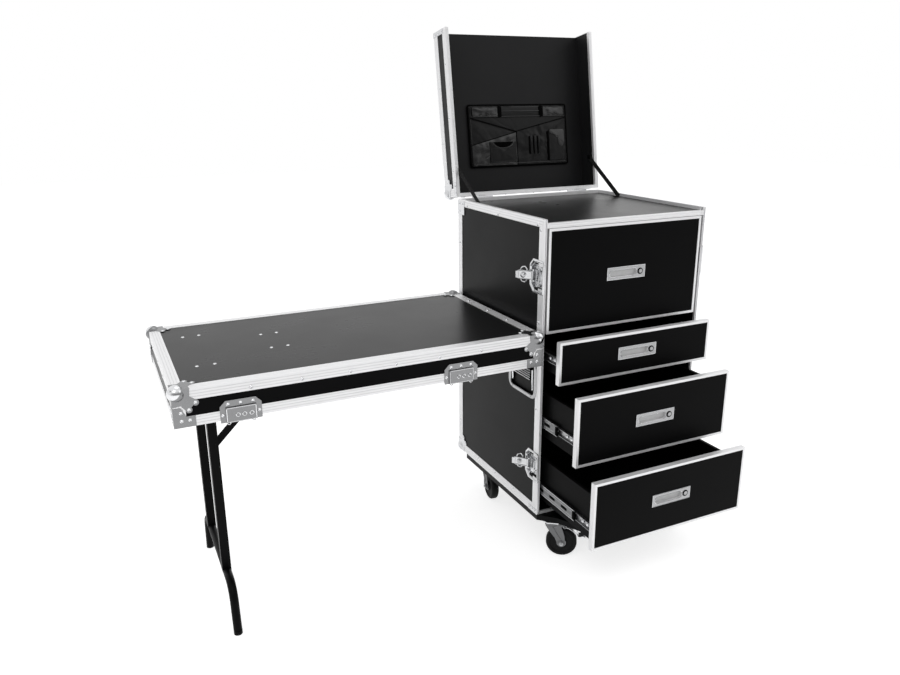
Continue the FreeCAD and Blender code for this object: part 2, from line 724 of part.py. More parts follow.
def drawer_fittings(number):
    """The pull's plate and pocket, the bolt case behind it, and the drawer's two slide members."""
    face, x, z = drawer_frame(number)
    board_y = face + TRIM_WALL
    cx, cz = pull_centre(number)
    plate = block((cx - PULL_W / 2, cx + PULL_W / 2), (board_y - PULL_T, board_y),
                  (cz - PULL_H / 2, cz + PULL_H / 2))
    cup = pocket_shape(number, PULL_T, (board_y, board_y + POCKET_DEPTH + PULL_T))
    sleeve = button_hole(number, BUTTON_GAP + PULL_T, (board_y, board_y + FRONT_T))
    pull = fused([plate, cup, sleeve])
    pull = pull.cut(pocket_shape(number, 0, (board_y - 2 * PULL_T, board_y + POCKET_DEPTH)))
    pull = pull.cut(button_hole(number, BUTTON_GAP, (board_y - 2 * PULL_T, board_y + FRONT_T + CUT_PAST)))
    flange_x = PANEL_BACK + 2 * (SLIDE_WALL + SLIDE_PLAY)
    outline = channel(PANEL_BACK + SLIDE_SPACE, flange_x, runner_z(number), INNER_H)
    y0 = board_y + FRONT_T + TRIM_WALL
    runner = prism("y", outline, (y0, y0 + BOX_LENGTH))
    return [pull] + both_sides([runner])


def drawer_button(number):
    face = drawer_frame(number)[0]
    y0 = face + TRIM_WALL - PULL_T - BUTTON_PROUD
    button = button_hole(number, 0, (y0, y0 + BUTTON_LENGTH))
    rim = [edge for edge in button.Edges if edge.BoundBox.YMax < y0 + BUTTON_ROUND]
    return [button.makeFillet(BUTTON_ROUND, rim)]


# Lid, made closed and then swung open


def opened(shapes):
    turned = []
    for shape in shapes:
        shape = shape.copy()
        shape.rotate(Vector(0, HINGE_Y, CASE_H), Vector(1, 0, 0), -LID_OPEN_DEG)
        turned.append(shape)
    return turned


def lid_boards():
    z0 = CASE_H + LID_SEAT_GAP
    z1 = CASE_H + LID_H
    top = block((PANEL_FACE, CASE_W - PANEL_FACE), (PROFILE_WALL, CASE_D - PANEL_FACE),
                (z1 - PANEL_BACK, z1 - PANEL_FACE))
    wall_z = (z0 + PROFILE_WALL, z1 - PANEL_BACK)
    side = block((PANEL_FACE, PANEL_BACK), (PROFILE_WALL, CASE_D - PANEL_FACE), wall_z)
    rear = block((PANEL_BACK, CASE_W - PANEL_BACK), (CASE_D - PANEL_BACK, CASE_D - PANEL_FACE), wall_z)
    return opened([top] + both_sides([side]) + [rear])


def lid_profiles():
    z0 = CASE_H + LID_SEAT_GAP
    z1 = CASE_H + LID_H
    w = PROFILE_WALL
    rim = [(0, z0), (RAIL_W, z0), (RAIL_W, z0 + RAIL_W), (PANEL_BACK, z0 + RAIL_W), (PANEL_BACK, z0 + w),
           (w, z0 + w), (w, z0 + LID_RIM_LEG), (0, z0 + LID_RIM_LEG)]
    side_rim = prism("y", rim, (w, CASE_D - RAIL_W))
    rear_rim = prism("x", [(CASE_D - a, b) for a, b in rim], (RAIL_W, CASE_W - RAIL_W))
    rear_ends = block((0, RAIL_W), (CASE_D - RAIL_W, CASE_D), (z0, z0 + w))
    top_side = angle_bar("y", (0, z1), (1, -1), (w, CASE_D - PROFILE_LEG))
    top_rear = angle_bar("x", (CASE_D, z1), (-1, -1), (PROFILE_LEG, CASE_W - PROFILE_LEG))
    post = angle_bar("z", (0, CASE_D), (1, -1), (z0 + w, z1 - PROFILE_LEG))
    side_rim = side_rim.cut(post)
    rear_rim = without(rear_rim, both_sides([post]))
    front_cap = fused([block((0, RAIL_W), (0, w), (z0, z1)), block((0, PROFILE_LEG), (0, w), (z1 - w, z1))])
    return opened(both_sides([side_rim, rear_ends, top_side, post, front_cap]) + [rear_rim, top_rear])


def lid_fittings():
    z0 = CASE_H + LID_SEAT_GAP
    z1 = CASE_H + LID_H
    cap = corner_cap((0, CASE_D, z1), (1, -1, -1))
    front_plate = block((-CORNER_T, 0), (0, FLAT_PLATE), (z1 - TALL_PLATE, z1))
    low_plate = block((-CORNER_T, 0), (CASE_D - CORNER_PLATE, CASE_D), (z0, z0 + FLAT_PLATE))
    leaves = []
    for x0, x1 in hinge_spans():
        third = (x1 - x0) / 3
        k0 = x0 + third + SEAT_GAP
        k1 = x1 - third - SEAT_GAP
        leaf = block((k0, k1), (CASE_D, CASE_D + HINGE_LEAF_T), (z0 + PIN_END, CASE_H + HINGE_LEAF_H))
        knuckle = rod("x", HINGE_R, (HINGE_Y, CASE_H), (k0, k1))
        neck_z = CASE_H + HINGE_R - HINGE_NECK_T
        neck = block((k0, k1), (CASE_D, HINGE_Y), (neck_z, CASE_H + HINGE_R))
        bore = rod("x", HINGE_PIN_R + PIN_PLAY, (HINGE_Y, CASE_H), (k0, k1))
        leaves.append(fused([leaf, knuckle, neck]).cut(bore))
    return opened(both_sides([cap, front_plate, low_plate]) + leaves)


def organiser():
    """The leather organiser on the inside of the lid: a back board and its raised pockets."""
    x0 = ORGANISER_INSETS[0]
    x1 = CASE_W - ORGANISER_INSETS[1]
    a0, a1 = ORGANISER_ALONG
    top = CASE_H + LID_H - PANEL_BACK
    backing = block((x0, x1), (CASE_D - a1, CASE_D - a0), (top - ORGANISER_T, top))
    rim = [edge for edge in backing.Edges if edge.BoundBox.ZMax < top - ORGANISER_ROUND]
    return opened([backing.makeFillet(ORGANISER_ROUND, rim)])


def lid_point(x, along, depth):
    """A place on the open lid, from its distance above the hinge line and behind its rim."""
    shape = Part.Vertex(Vector(x, CASE_D - along, CASE_H + depth))
    shape.rotate(Vector(0, HINGE_Y, CASE_H), Vector(1, 0, 0), -LID_OPEN_DEG)
    return shape.Point


def lid_straps():
    """Webbing that stops the open lid, one strap each side, flat against the side walls."""
    x = PANEL_BACK + STRAP_IN
    upper = lid_point(x, STRAP_LID_ALONG, STRAP_LID_DEPTH)
    lower = Vector(x, STRAP_CASE_Y, WORKTOP_Z + SEAT_GAP)
    run = Vector(upper.x - lower.x, upper.y - lower.y, upper.z - lower.z)
    across = Vector(0, -run.z, run.y).normalize() * (STRAP_W / 2)
    corners = [lower + across, lower - across, upper - across, upper + across]
    low = WORKTOP_Z + SEAT_GAP
    strap = prism("x", [(c.y, c.z) for c in corners], (x, x + STRAP_T))
    strap = strap.cut(block((x - CUT_PAST, x + STRAP_T + CUT_PAST), (0, CASE_D), (low - STRAP_W, low)))
    return both_sides([strap])


# Table


def table_boards():
    x0, x1 = TABLE_X0, TABLE_X1
    y0, y1 = TABLE_FRONT_Y, TABLE_REAR_Y
    f = PANEL_FACE
    b = PANEL_BACK
    z_walls = (TABLE_RIM_Z + PROFILE_WALL, TABLE_UNDER)
    top = block((x0 + f, x1 - f), (y0 + f, y1 - f), (TABLE_UNDER, TABLE_LIFT_Z - f))
    long_walls = [block((x0 + f, x1 - f), span, z_walls) for span in ((y0 + f, y0 + b), (y1 - b, y1 - f))]
    end_walls = [block(span, (y0 + b, y1 - b), z_walls) for span in ((x0 + f, x0 + b), (x1 - b, x1 - f))]
    leg = PROFILE_LEG
    cut = LOBE_NEAR + LOBE_FAR + math.sqrt(2) * LOBE_R + CUT_PAST - 2 * leg
    fx = (x0 + leg, x1 - leg)
    fy = (y0 + leg, y1 - leg)
    eight_sided = [(fx[0] + cut, fy[0]), (fx[1] - cut, fy[0]), (fx[1], fy[0] + cut), (fx[1], fy[1] - cut),
                   (fx[1] - cut, fy[1]), (fx[0] + cut, fy[1]), (fx[0], fy[1] - cut), (fx[0], fy[0] + cut)]
    field = prism("z", eight_sided, (TABLE_LIFT_Z - f, TABLE_LIFT_Z - f + FIELD_T))
    return [top.fuse(field)] + long_walls + end_walls


def table_profiles():
    x0, x1 = TABLE_X0, TABLE_X1
    y0, y1 = TABLE_FRONT_Y, TABLE_REAR_Y
    z1 = TABLE_LIFT_Z
    leg = PROFILE_LEG
    w = PROFILE_WALL
    tops = [angle_bar("x", (y0, z1), (1, -1), (x0 + leg, x1 - leg)),
            angle_bar("x", (y1, z1), (-1, -1), (x0 + leg, x1 - leg)),
            angle_bar("y", (x0, z1), (1, -1), (y0, y1)),
            angle_bar("y", (x1, z1), (-1, -1), (y0, y1))]
    posts = []
    for x, sx in ((x0, 1), (x1, -1)):
        for y, sy in ((y0, 1), (y1, -1)):
            posts.append(angle_bar("z", (x, y), (sx, sy), (TABLE_RIM_Z + LID_RIM_LEG, z1 - leg)))
    for k, post in enumerate(posts):
        tops[2 + k // 2] = tops[2 + k // 2].cut(post)
    low = TABLE_RIM_Z
    rim = [(0, low), (RAIL_W, low), (RAIL_W, low + RAIL_W), (PANEL_BACK, low + RAIL_W), (PANEL_BACK, low + w),
           (w, low + w), (w, low + LID_RIM_LEG), (0, low + LID_RIM_LEG)]
    rims = [prism("x", [(y0 + a, b) for a, b in rim], (x0, x1)),
            prism("x", [(y1 - a, b) for a, b in rim], (x0, x1)),
            prism("y", [(x0 + a, b) for a, b in rim], (y0 + RAIL_W, y1 - RAIL_W)),
            prism("y", [(x1 - a, b) for a, b in rim], (y0 + RAIL_W, y1 - RAIL_W))]
    hollow = block((x0 + w, x1 - w), (y0 + w, y1 - w), (low + w, low + LID_RIM_LEG + CUT_PAST))
    rims[0] = rims[0].cut(hollow).fuse(prism("x", [(y0 + a, b) for a, b in rim], (x0 + RAIL_W, x1 - RAIL_W)))
    rims[1] = rims[1].cut(hollow).fuse(prism("x", [(y1 - a, b) for a, b in rim], (x0 + RAIL_W, x1 - RAIL_W)))
    return tops + posts + [rim_bar.removeSplitter() for rim_bar in rims]


def hinge_x():
    return TABLE_X0 + LEG_FROM_END


def hinge_z():
    return TABLE_LIFT_Z - LEG_HINGE_DROP


def mirror_in_y(shapes):
    """The same pieces at the table's other long side."""
    middle = Vector(0, (LEG_YS[0] + LEG_YS[1]) / 2, 0)
    return [shape.mirror(middle, Vector(0, 1, 0)) for shape in shapes]


def leg_bracket():
    x, z = hinge_x(), hinge_z()
    y = LEG_YS[0]
    half = LEG_SQUARE / 2
    ear_in = half + LEG_EAR_GAP
    ear_out = ear_in + LEG_EAR_T
    top = (TABLE_UNDER - LEG_EAR_T, TABLE_UNDER)
    plate = block((x - BRACKET_L / 2, x + BRACKET_L / 2), (y - BRACKET_L / 2, y + BRACKET_L / 2), top)
    ears = [block((x - half, x + half), sorted((y + side * ear_in, y + side * ear_out)), (z - half, top[0]))
            for side in (-1, 1)]
    pin = rod("y", LEG_PIN_R, (x, z), (y - ear_out - PIN_END, y + ear_out + PIN_END))
    return fused([plate] + ears + [pin])


def link_planes():
    """The y spans of the lower and the upper link beside the front upright."""
    low = LEG_YS[0] + LEG_SQUARE / 2 + BRACE_GAP
    high = low + BRACE_T + BRACE_GAP
    return (low, low + BRACE_T), (high, high + BRACE_T)


def brace_bracket():
    x, z = hinge_x() + BRACE_REACH, hinge_z()
    upper = link_planes()[1]
    ear = (upper[1] + BRACE_GAP, upper[1] + BRACE_GAP + LEG_EAR_T)
    top = (TABLE_UNDER - LEG_EAR_T, TABLE_UNDER)
    half = BRACE_W / 2
    plate = block((x - BRACKET_L / 2, x + BRACKET_L / 2), (upper[0], upper[0] + BRACKET_W), top)
    lug = block((x - half, x + half), ear, (z - half, top[0]))
    pin = rod("y", LEG_PIN_R, (x, z), (upper[0], ear[1]))
    return fused([plate, lug, pin])


def catch_plates():
    """The plates that the side latches draw shut, on both long walls."""
    plates = []
    low = TABLE_RIM_Z - CATCH_BELOW
    high = low + CATCH_H
    half = CATCH_W / 2
    c = CATCH_CHAMFER
    for place in LATCH_ZS:
        x = TABLE_X0 + place
        outline = [(x - half, low), (x + half, low), (x + half, high - c), (x + half - c, high),
                   (x - half + c, high), (x - half, high - c)]
        flat = prism("y", outline, (-CATCH_T, 0))
        box = block((x - CATCH_BOX_W / 2, x + CATCH_BOX_W / 2), (-CATCH_BOX_T, 0), (low, low + CATCH_BOX_H))
        catch = fused([flat, box])
        for y, sign in ((TABLE_FRONT_Y, 1), (TABLE_REAR_Y, -1)):
            plates.append(set_in_corner(catch, (0, y, 0), (1, sign, 1)))
    return plates


def table_fittings():
    caps = []
    lows = []
    for x, sx in ((TABLE_X0, 1), (TABLE_X1, -1)):
        for y, sy in ((TABLE_FRONT_Y, 1), (TABLE_REAR_Y, -1)):
            caps.append(corner_cap((x, y, TABLE_LIFT_Z), (sx, sy, -1)))
            lows.append(foot_plate((x, y, TABLE_RIM_Z), (sx, sy, 1)))
    brackets = [leg_bracket(), brace_bracket()]
    return caps + lows + catch_plates() + brackets + mirror_in_y(brackets)


def foot_bar():
    """The bent round bar: two feet, a bend each side and the long run that joins the uprights."""
    x = hinge_x()
    top_z = GROUND + FOOT_RISE
    y0, y1 = FOOT_SPAN
    corners = [Vector(x, y0, GROUND), Vector(x, y0 + FOOT_SPLAY, top_z), Vector(x, y1 - FOOT_SPLAY, top_z),
               Vector(x, y1, GROUND)]
    edges = []
    start = corners[0]
    for before, corner, after in zip(corners, corners[1:], corners[2:]):
        to_before = (before - corner).normalize()
        to_after = (after - corner).normalize()
        half = to_before.getAngle(to_after) / 2
        setback = FOOT_BEND / math.tan(half)
        into = corner + to_before * setback
        out_of = corner + to_after * setback
        inward = (to_before + to_after).normalize()
        middle = corner + inward * (FOOT_BEND / math.sin(half) - FOOT_BEND)
        edges.append(Part.LineSegment(start, into).toShape())
        edges.append(Part.Arc(into, middle, out_of).toShape())
        start = out_of
    edges.append(Part.LineSegment(start, corners[-1]).toShape())
    path = Part.Wire(edges)
    heading = (corners[1] - corners[0]).normalize()
    circle = Part.Wire([Part.makeCircle(FOOT_R, corners[0], heading)])
    bar = path.makePipeShell([circle], True, False)
    floor_cut = block((x - 2 * FOOT_R, x + 2 * FOOT_R), (y0 - 3 * FOOT_R, y1 + 3 * FOOT_R),
                      (GROUND - 3 * FOOT_R, GROUND))
    feet = [rod("z", FOOT_R, (x, y), (GROUND, GROUND + FOOT_R)) for y in FOOT_SPAN]
    return fused([bar] + feet).cut(floor_cut)


def leg_frame():
    x, z = hinge_x(), hinge_z()
    half = LEG_SQUARE / 2
    low_z = GROUND + FOOT_RISE
    link_span = link_planes()[0]
    uprights = []
    for y, inward in zip(LEG_YS, (1, -1)):
        upright = block((x - half, x + half), (y - half, y + half), (low_z, z))
        upright = upright.fuse(rod("y", half, (x, z), (y - half, y + half)))
        upright = upright.cut(rod("y", LEG_PIN_R + PIN_PLAY, (x, z), (y - half, y + half)))
        face = y + inward * half
        reach = inward * (link_span[1] - LEG_YS[0] - half)
        upright = upright.fuse(rod("y", LEG_PIN_R, (x, z - BRACE_REACH), sorted((face, face + reach))))
        uprights.append(upright)
    return [fused([foot_bar()] + uprights)]


def link(start, end, span, bore_start):
    """A flat link between two pivots, given as (x, z), with a bore at its carried end."""
    half = BRACE_W / 2
    run = (end[0] - start[0], end[1] - start[1])
    length = math.hypot(*run)
    nx, nz = -run[1] / length * half, run[0] / length * half
    bar = prism("y", [(start[0] + nx, start[1] + nz), (start[0] - nx, start[1] - nz),
                      (end[0] - nx, end[1] - nz), (end[0] + nx, end[1] + nz)], span)
    bar = fused([bar, rod("y", half, start, span), rod("y", half, end, span)])
    return bar.cut(rod("y", LEG_PIN_R + PIN_PLAY, bore_start, span))


def brace_pivots():
    """The pivots on the leg, in the middle of the brace and on the table."""
    on_leg = (hinge_x(), hinge_z() - BRACE_REACH)
    on_table = (hinge_x() + BRACE_REACH, hinge_z())
    middle = ((on_leg[0] + on_table[0]) / 2, (on_leg[1] + on_table[1]) / 2)
    return on_leg, middle, on_table


def brace_lower():
    on_leg, middle, _ = brace_pivots()
    bar = link(on_leg, middle, link_planes()[0], on_leg)
    return [bar] + mirror_in_y([bar])


def brace_upper():
    _, middle, on_table = brace_pivots()
    bar = link(middle, on_table, link_planes()[1], on_table)
    return [bar] + mirror_in_y([bar])


# Castors, made around the swivel axis with the wheel trailing along +X


def crown_z():
    top = -CASTER_BOARD_T - CASTER_PLATE_T - FORK_GAP
    return top - CROWN_H, top


def axle_z():
    return GROUND + WHEEL_R


def pedal_pivot():
    return CASTER_TRAIL + PEDAL_AHEAD, axle_z() + WHEEL_R + PEDAL_UP


def caster_fork():
    low, top = crown_z()
    wall = FORK_WALL
    inside = WHEEL_W / 2 + FORK_GAP
    axle = (CASTER_TRAIL, axle_z())
    px, pz = pedal_pivot()
    disc = rod("z", CROWN_R, (0, 0), (low, top))
    outside = inside + wall
    nose = px + FORK_RISE
    crown = block((-CROWN_R / 2, nose), (-outside, outside), (low, low + wall))
    outline = [(-CROWN_R / 2, low + wall), (nose, low + wall), (nose, pz - FORK_RISE),
               (axle[0] + FORK_CHEEK, axle[1] + FORK_RISE), (axle[0] + FORK_FOOT, axle[1] - FORK_CHEEK),
               (axle[0] - FORK_FOOT, axle[1] - FORK_CHEEK), (axle[0] - FORK_CHEEK, axle[1] + FORK_RISE)]
    legs = [prism("y", outline, span) for span in ((-outside, -inside), (inside, outside))]
    axle_rod = rod("y", AXLE_R, axle, (-outside - NUT_T - PIN_END, outside + NUT_T + PIN_END))
    nuts = [rod("y", NUT_R, axle, span)
            for span in ((-outside - NUT_T, -outside), (outside, outside + NUT_T))]
    pedal_pin = rod("y", PEDAL_PIN_R, (px, pz), (-inside, inside))
    bore = rod("z", KINGPIN_R + PIN_PLAY, (0, 0), (low - CUT_PAST, top + CUT_PAST))
    return fused([disc, crown] + legs + [axle_rod, pedal_pin] + nuts).cut(bore)


def caster_wheel():
    """The tyre and hub in one, turned about the axle."""
    r = WHEEL_R
    w = WHEEL_W / 2
    bore = AXLE_R + PIN_PLAY
    web = w - HUB_BEVEL
    rim = w - TREAD_ROUND
    outline = [(bore, w), (HUB_R, w), (HUB_R + HUB_BEVEL / 2, web), (WEB_R, web), (RIM_R, rim),
               (r - TREAD_BEVEL, rim), (r - TREAD_ROUND, rim - TREAD_BEVEL / 2), (r, rim - TREAD_BEVEL)]
    outline += [(radius, -half) for radius, half in reversed(outline)]
    points = [Vector(radius, half, 0) for radius, half in outline]
    face = Part.Face(Part.makePolygon(points + points[:1]))
    wheel = face.revolve(Vector(0, 0, 0), Vector(0, 1, 0), 360)
    wheel.translate(Vector(CASTER_TRAIL, 0, axle_z()))
    return wheel


def caster_pedal():
    """The brake lever: a lug on its pin, an arm round the tyre and the tread at its end."""
    px, pz = pedal_pivot()
    half = WHEEL_W / 2 - PIN_END
    inner = WHEEL_R + PEDAL_GAP
    outer = inner + PEDAL_T

    def on_arc(radius, degrees):
        turn = math.radians(degrees)
        return Vector(CASTER_TRAIL + radius * math.cos(turn), -half, axle_z() + radius * math.sin(turn))

    start, end = PEDAL_ARC_DEG
    middle = (start + end) / 2
    edges = [
        Part.Arc(on_arc(inner, start), on_arc(inner, middle), on_arc(inner, end)).toShape(),
        Part.LineSegment(on_arc(inner, end), on_arc(outer, end)).toShape(),
        Part.Arc(on_arc(outer, end), on_arc(outer, middle), on_arc(outer, start)).toShape(),
        Part.LineSegment(on_arc(outer, start), on_arc(inner, start)).toShape(),
    ]
    arm = Part.Face(Part.Wire(edges)).extrude(Vector(0, 2 * half, 0))
    tip = on_arc(inner, end)
    tread = block((tip.x, tip.x + PEDAL_TREAD), (-half - PEDAL_FLARE, half + PEDAL_FLARE),
                  (tip.z, tip.z + PEDAL_T))
    lug = rod("y", PEDAL_LUG_R, (px, pz), (-half, half))
    bore = rod("y", PEDAL_PIN_R + PIN_PLAY, (px, pz), (-half, half))
    return fused([arm, tread, lug]).cut(bore)


# Latches, made closed on the left side and then swung to rest


def latch_turn(shape, z):
    shape = shape.copy()
    shape.rotate(Vector(-LATCH_HINGE_OUT, LATCH_HINGE_Y, z), Vector(0, 0, 1), -LATCH_REST_DEG)
    return shape


def latch_arm(z):
    out = -LATCH_HINGE_OUT
    t = LATCH_ARM_T
    half = LATCH_ARM_W / 2
    tip = LATCH_HINGE_Y - LATCH_ARM_L
    c = half / 2
    root = LATCH_HINGE_Y - t
    outline = [(root, z - half), (root, z + half), (tip + c, z + half), (tip, z + half - c),
               (tip, z - half + c), (tip + c, z - half)]
    plate = prism("x", outline, (out - t / 2, out + t / 2))
    curl = rod("z", t, (out, LATCH_HINGE_Y), (z - half, z + half))
    curl = curl.fuse(block((out - t / 2, out + t / 2), (root - t, LATCH_HINGE_Y), (z - half, z + half)))
    lip = block((out - 3 * t, out), (tip, tip + t), (z - half + c, z + half - c))
    arm = fused([plate, curl, lip])
    arm = arm.cut(rod("z", t / 2 + PIN_PLAY, (out, LATCH_HINGE_Y), (z - half, z + half)))
    boss_y = LATCH_HINGE_Y - LATCH_BOSS
    arm = arm.cut(rod("x", WING_PIN_R + PIN_PLAY, (boss_y, z), (out - 2 * t, out + 2 * t)))
    return [latch_turn(arm, z)]


def latch_wing(z):
    """The two turning ears outside the arm, and the cam on the same pin inside it."""
    out = -LATCH_HINGE_OUT
    boss_y = LATCH_HINGE_Y - LATCH_BOSS
    near = out - LATCH_ARM_T / 2 - SEAT_GAP
    far = near - WING_OUT
    cam_x = (out + LATCH_ARM_T / 2 + SEAT_GAP, out + LATCH_ARM_T / 2 + SEAT_GAP + CAM_L)
    pin = rod("x", WING_PIN_R, (boss_y, z), (far, cam_x[1]))
    hub = rod("x", WING_HUB_R, (boss_y, z), (far, near))
    cam = rod("x", CAM_R, (boss_y, z), cam_x)
    ears = block((far, near - SEAT_GAP), (boss_y - WING_T / 2, boss_y + WING_T / 2), (z - WING_R, z + WING_R))
    return [latch_turn(fused([pin, hub, cam, ears]), z)]


# Handles


def bail_pivot_x():
    return (DISH_DEPTH - DISH_WALL) / 2


def handle_bail():
    (y0, y1), _ = handle_pocket()
    px = bail_pivot_x()
    pz = HANDLE_Z[0] + BAIL_PIVOT_UP
    grip_z = HANDLE_Z[0] + GRIP_UP
    t = BAIL_LEG_T / 2
    gap = BAIL_SIDE_GAP
    pieces = []
    for span in ((y0 + gap, y0 + gap + BAIL_LEG_W), (y1 - gap - BAIL_LEG_W, y1 - gap)):
        pieces.append(block((px - t, px + t), span, (pz, grip_z + GRIP_H)))
        pieces.append(rod("y", BAIL_EYE_R, (px, pz), span))
    grip_y = (y0 + gap + BAIL_LEG_W, y1 - gap - BAIL_LEG_W)
    grip_back = DISH_DEPTH - DISH_WALL - GRIP_BACK
    grip_x = (grip_back - GRIP_T, grip_back)
    grip = block(grip_x, grip_y, (grip_z, grip_z + GRIP_H))
    grip = grip.makeFillet(GRIP_ROUND, [edge for edge in grip.Edges if edge.BoundBox.YLength > GRIP_H])
    bail = fused([grip] + pieces)
    return [bail.cut(rod("y", BAIL_PIN_R + PIN_PLAY, (px, pz), (y0, y1)))]


def build():
    """Every node of the object, as a list of solids under its name."""
    nodes = {
        "side_panels": side_panels(),
        "rear_panel": rear_panel(),
        "base_boards": base_boards(),
        "worktop_panel": worktop_panel(),
        "front_frame": front_frame(),
        "edge_profiles": edge_profiles(),
        "case_fittings": case_fittings(),
        "side_dishes": side_dishes(),
        "outer_slides": outer_slides(),
        "lid_boards": lid_boards(),
        "lid_profiles": lid_profiles(),
        "lid_fittings": lid_fittings(),
        "lid_straps": lid_straps(),
        "organiser": organiser(),
        "table_boards": table_boards(),
        "table_profiles": table_profiles(),
        "table_fittings": table_fittings(),
        "leg_frame": leg_frame(),
        "brace_lower": brace_lower(),
        "brace_upper": brace_upper(),
    }
    for number in range(len(DRAWER_BOTTOMS)):
        name = "drawer%d" % (number + 1)
        nodes[name + "_box"] = drawer_box(number)
        nodes[name + "_trim"] = drawer_trim(number)
        nodes[name + "_fittings"] = drawer_fittings(number)
        nodes[name + "_button"] = drawer_button(number)
        nodes[name + "_slides"] = slide_middles(number)
    for name, place, heading in caster_places():
        nodes["fork_" + name] = [at_caster(caster_fork(), place, heading)]
        nodes["wheel_" + name] = [at_caster(caster_wheel(), place, heading)]
        if name.startswith("front"):
            nodes["brake_" + name] = [at_caster(caster_pedal(), place, heading)]
    for level, z in zip(("lower", "upper"), LATCH_ZS):
        arm = latch_arm(z)
        wing = latch_wing(z)
        nodes["latch_arm_left_" + level] = arm
        nodes["latch_arm_right_" + level] = mirrored(arm)
        nodes["latch_wing_left_" + level] = wing
        nodes["latch_wing_right_" + level] = mirrored(wing)
    bail = handle_bail()
    nodes["bail_left"] = bail
    nodes["bail_right"] = mirrored(bail)
    return nodes


def overall_shift(nodes):
    """The move that puts the origin at the middle of the footprint, on the floor."""
    boxes = [shape.optimalBoundingBox(False, False) for shapes in nodes.values() for shape in shapes]
    x = (min(b.XMin for b in boxes) + max(b.XMax for b in boxes)) / 2
    y = (min(b.YMin for b in boxes) + max(b.YMax for b in boxes)) / 2
    return Vector(-x, -y, -GROUND)


NODES = build()
SHIFT = overall_shift(NODES)
os.makedirs("parts", exist_ok=True)
for node_name, node_shapes in NODES.items():
    for node_shape in node_shapes:
        node_shape.translate(SHIFT)
    whole = Part.makeCompound(node_shapes) if len(node_shapes) > 1 else node_shapes[0]
    whole.exportStep("parts/%s.step" % node_name)
print("nodes", len(NODES), "solids", sum(len(shapes) for shapes in NODES.values()), "shift", SHIFT)
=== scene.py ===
import json
import math
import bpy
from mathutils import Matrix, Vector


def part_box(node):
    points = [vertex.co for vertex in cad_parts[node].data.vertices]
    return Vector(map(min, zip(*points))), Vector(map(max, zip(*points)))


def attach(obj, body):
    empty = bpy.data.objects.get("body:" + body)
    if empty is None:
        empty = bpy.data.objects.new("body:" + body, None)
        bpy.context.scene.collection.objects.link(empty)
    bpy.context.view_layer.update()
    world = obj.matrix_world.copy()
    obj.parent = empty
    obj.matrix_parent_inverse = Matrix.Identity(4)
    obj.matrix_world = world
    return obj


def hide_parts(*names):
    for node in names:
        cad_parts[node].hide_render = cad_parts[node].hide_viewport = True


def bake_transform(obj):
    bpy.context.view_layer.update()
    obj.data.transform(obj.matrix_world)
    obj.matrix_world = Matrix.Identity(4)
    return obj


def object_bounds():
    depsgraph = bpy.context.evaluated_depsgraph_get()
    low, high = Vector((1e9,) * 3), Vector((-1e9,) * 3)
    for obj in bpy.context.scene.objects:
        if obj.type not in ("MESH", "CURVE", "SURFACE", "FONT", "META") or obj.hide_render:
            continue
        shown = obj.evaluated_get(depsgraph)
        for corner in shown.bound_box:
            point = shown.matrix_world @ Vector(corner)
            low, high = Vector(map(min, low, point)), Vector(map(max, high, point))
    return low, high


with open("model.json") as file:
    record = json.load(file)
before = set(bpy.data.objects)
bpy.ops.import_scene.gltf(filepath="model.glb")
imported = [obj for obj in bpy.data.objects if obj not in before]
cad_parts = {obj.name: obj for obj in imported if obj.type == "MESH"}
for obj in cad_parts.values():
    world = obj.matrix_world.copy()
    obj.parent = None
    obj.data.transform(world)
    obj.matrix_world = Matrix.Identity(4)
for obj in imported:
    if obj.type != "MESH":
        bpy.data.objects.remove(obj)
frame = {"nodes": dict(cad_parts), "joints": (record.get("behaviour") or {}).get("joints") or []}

from fnmatch import fnmatch

import bmesh
import bpy
from bpy.props import FloatProperty, FloatVectorProperty, PointerProperty
from bpy.types import Operator, Panel, PropertyGroup
from mathutils import Matrix, Vector, noise

bl_info = {
    "name": "Wheeled drawer case",
    "version": (1, 0, 0),
    "blender": (4, 5, 0),
    "location": "3D View > Sidebar > Drawer Case",
    "description": "Finishes and small fittings of a wheeled drawer case with a side table",
    "category": "Object",
}

# Places from the frame: case coordinates are in millimetres from the case's front left foot
MM = 0.001
CAD_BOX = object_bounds()
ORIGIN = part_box("front_frame")[0]
CASE_W = (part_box("front_frame")[1].x - ORIGIN.x) / MM
CASE_H = (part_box("front_frame")[1].z - ORIGIN.z) / MM
CASE_D = (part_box("edge_profiles")[1].y - ORIGIN.y) / MM
FLOOR_Z = CAD_BOX[0].z
JOINTS = {joint["name"]: joint for joint in frame["joints"]}
HINGE_Y = (JOINTS["lid_hinge"]["pos_m"][1] - ORIGIN.y) / MM
WORLD = Matrix.Translation(ORIGIN) @ Matrix.Scale(MM, 4)


def case_box(node):
    """A node's lowest and highest corners in case coordinates."""
    return [(corner - ORIGIN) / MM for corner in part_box(node)]


def turned_about(point, turn):
    """A turn round a point."""
    return Matrix.Translation(point) @ turn @ Matrix.Translation(-point)


# The lid's matrix goes from the shut lid in case coordinates to the open lid in the frame
LID_SWING = Matrix.Rotation(-math.radians(JOINTS["lid_hinge"]["range_deg"][1]), 4, "X")
LID = turned_about(Vector(JOINTS["lid_hinge"]["pos_m"]), LID_SWING) @ WORLD
TABLE_LOW, TABLE_HIGH = case_box("table_profiles")
LID_H = TABLE_HIGH.x - TABLE_LOW.x - CASE_H

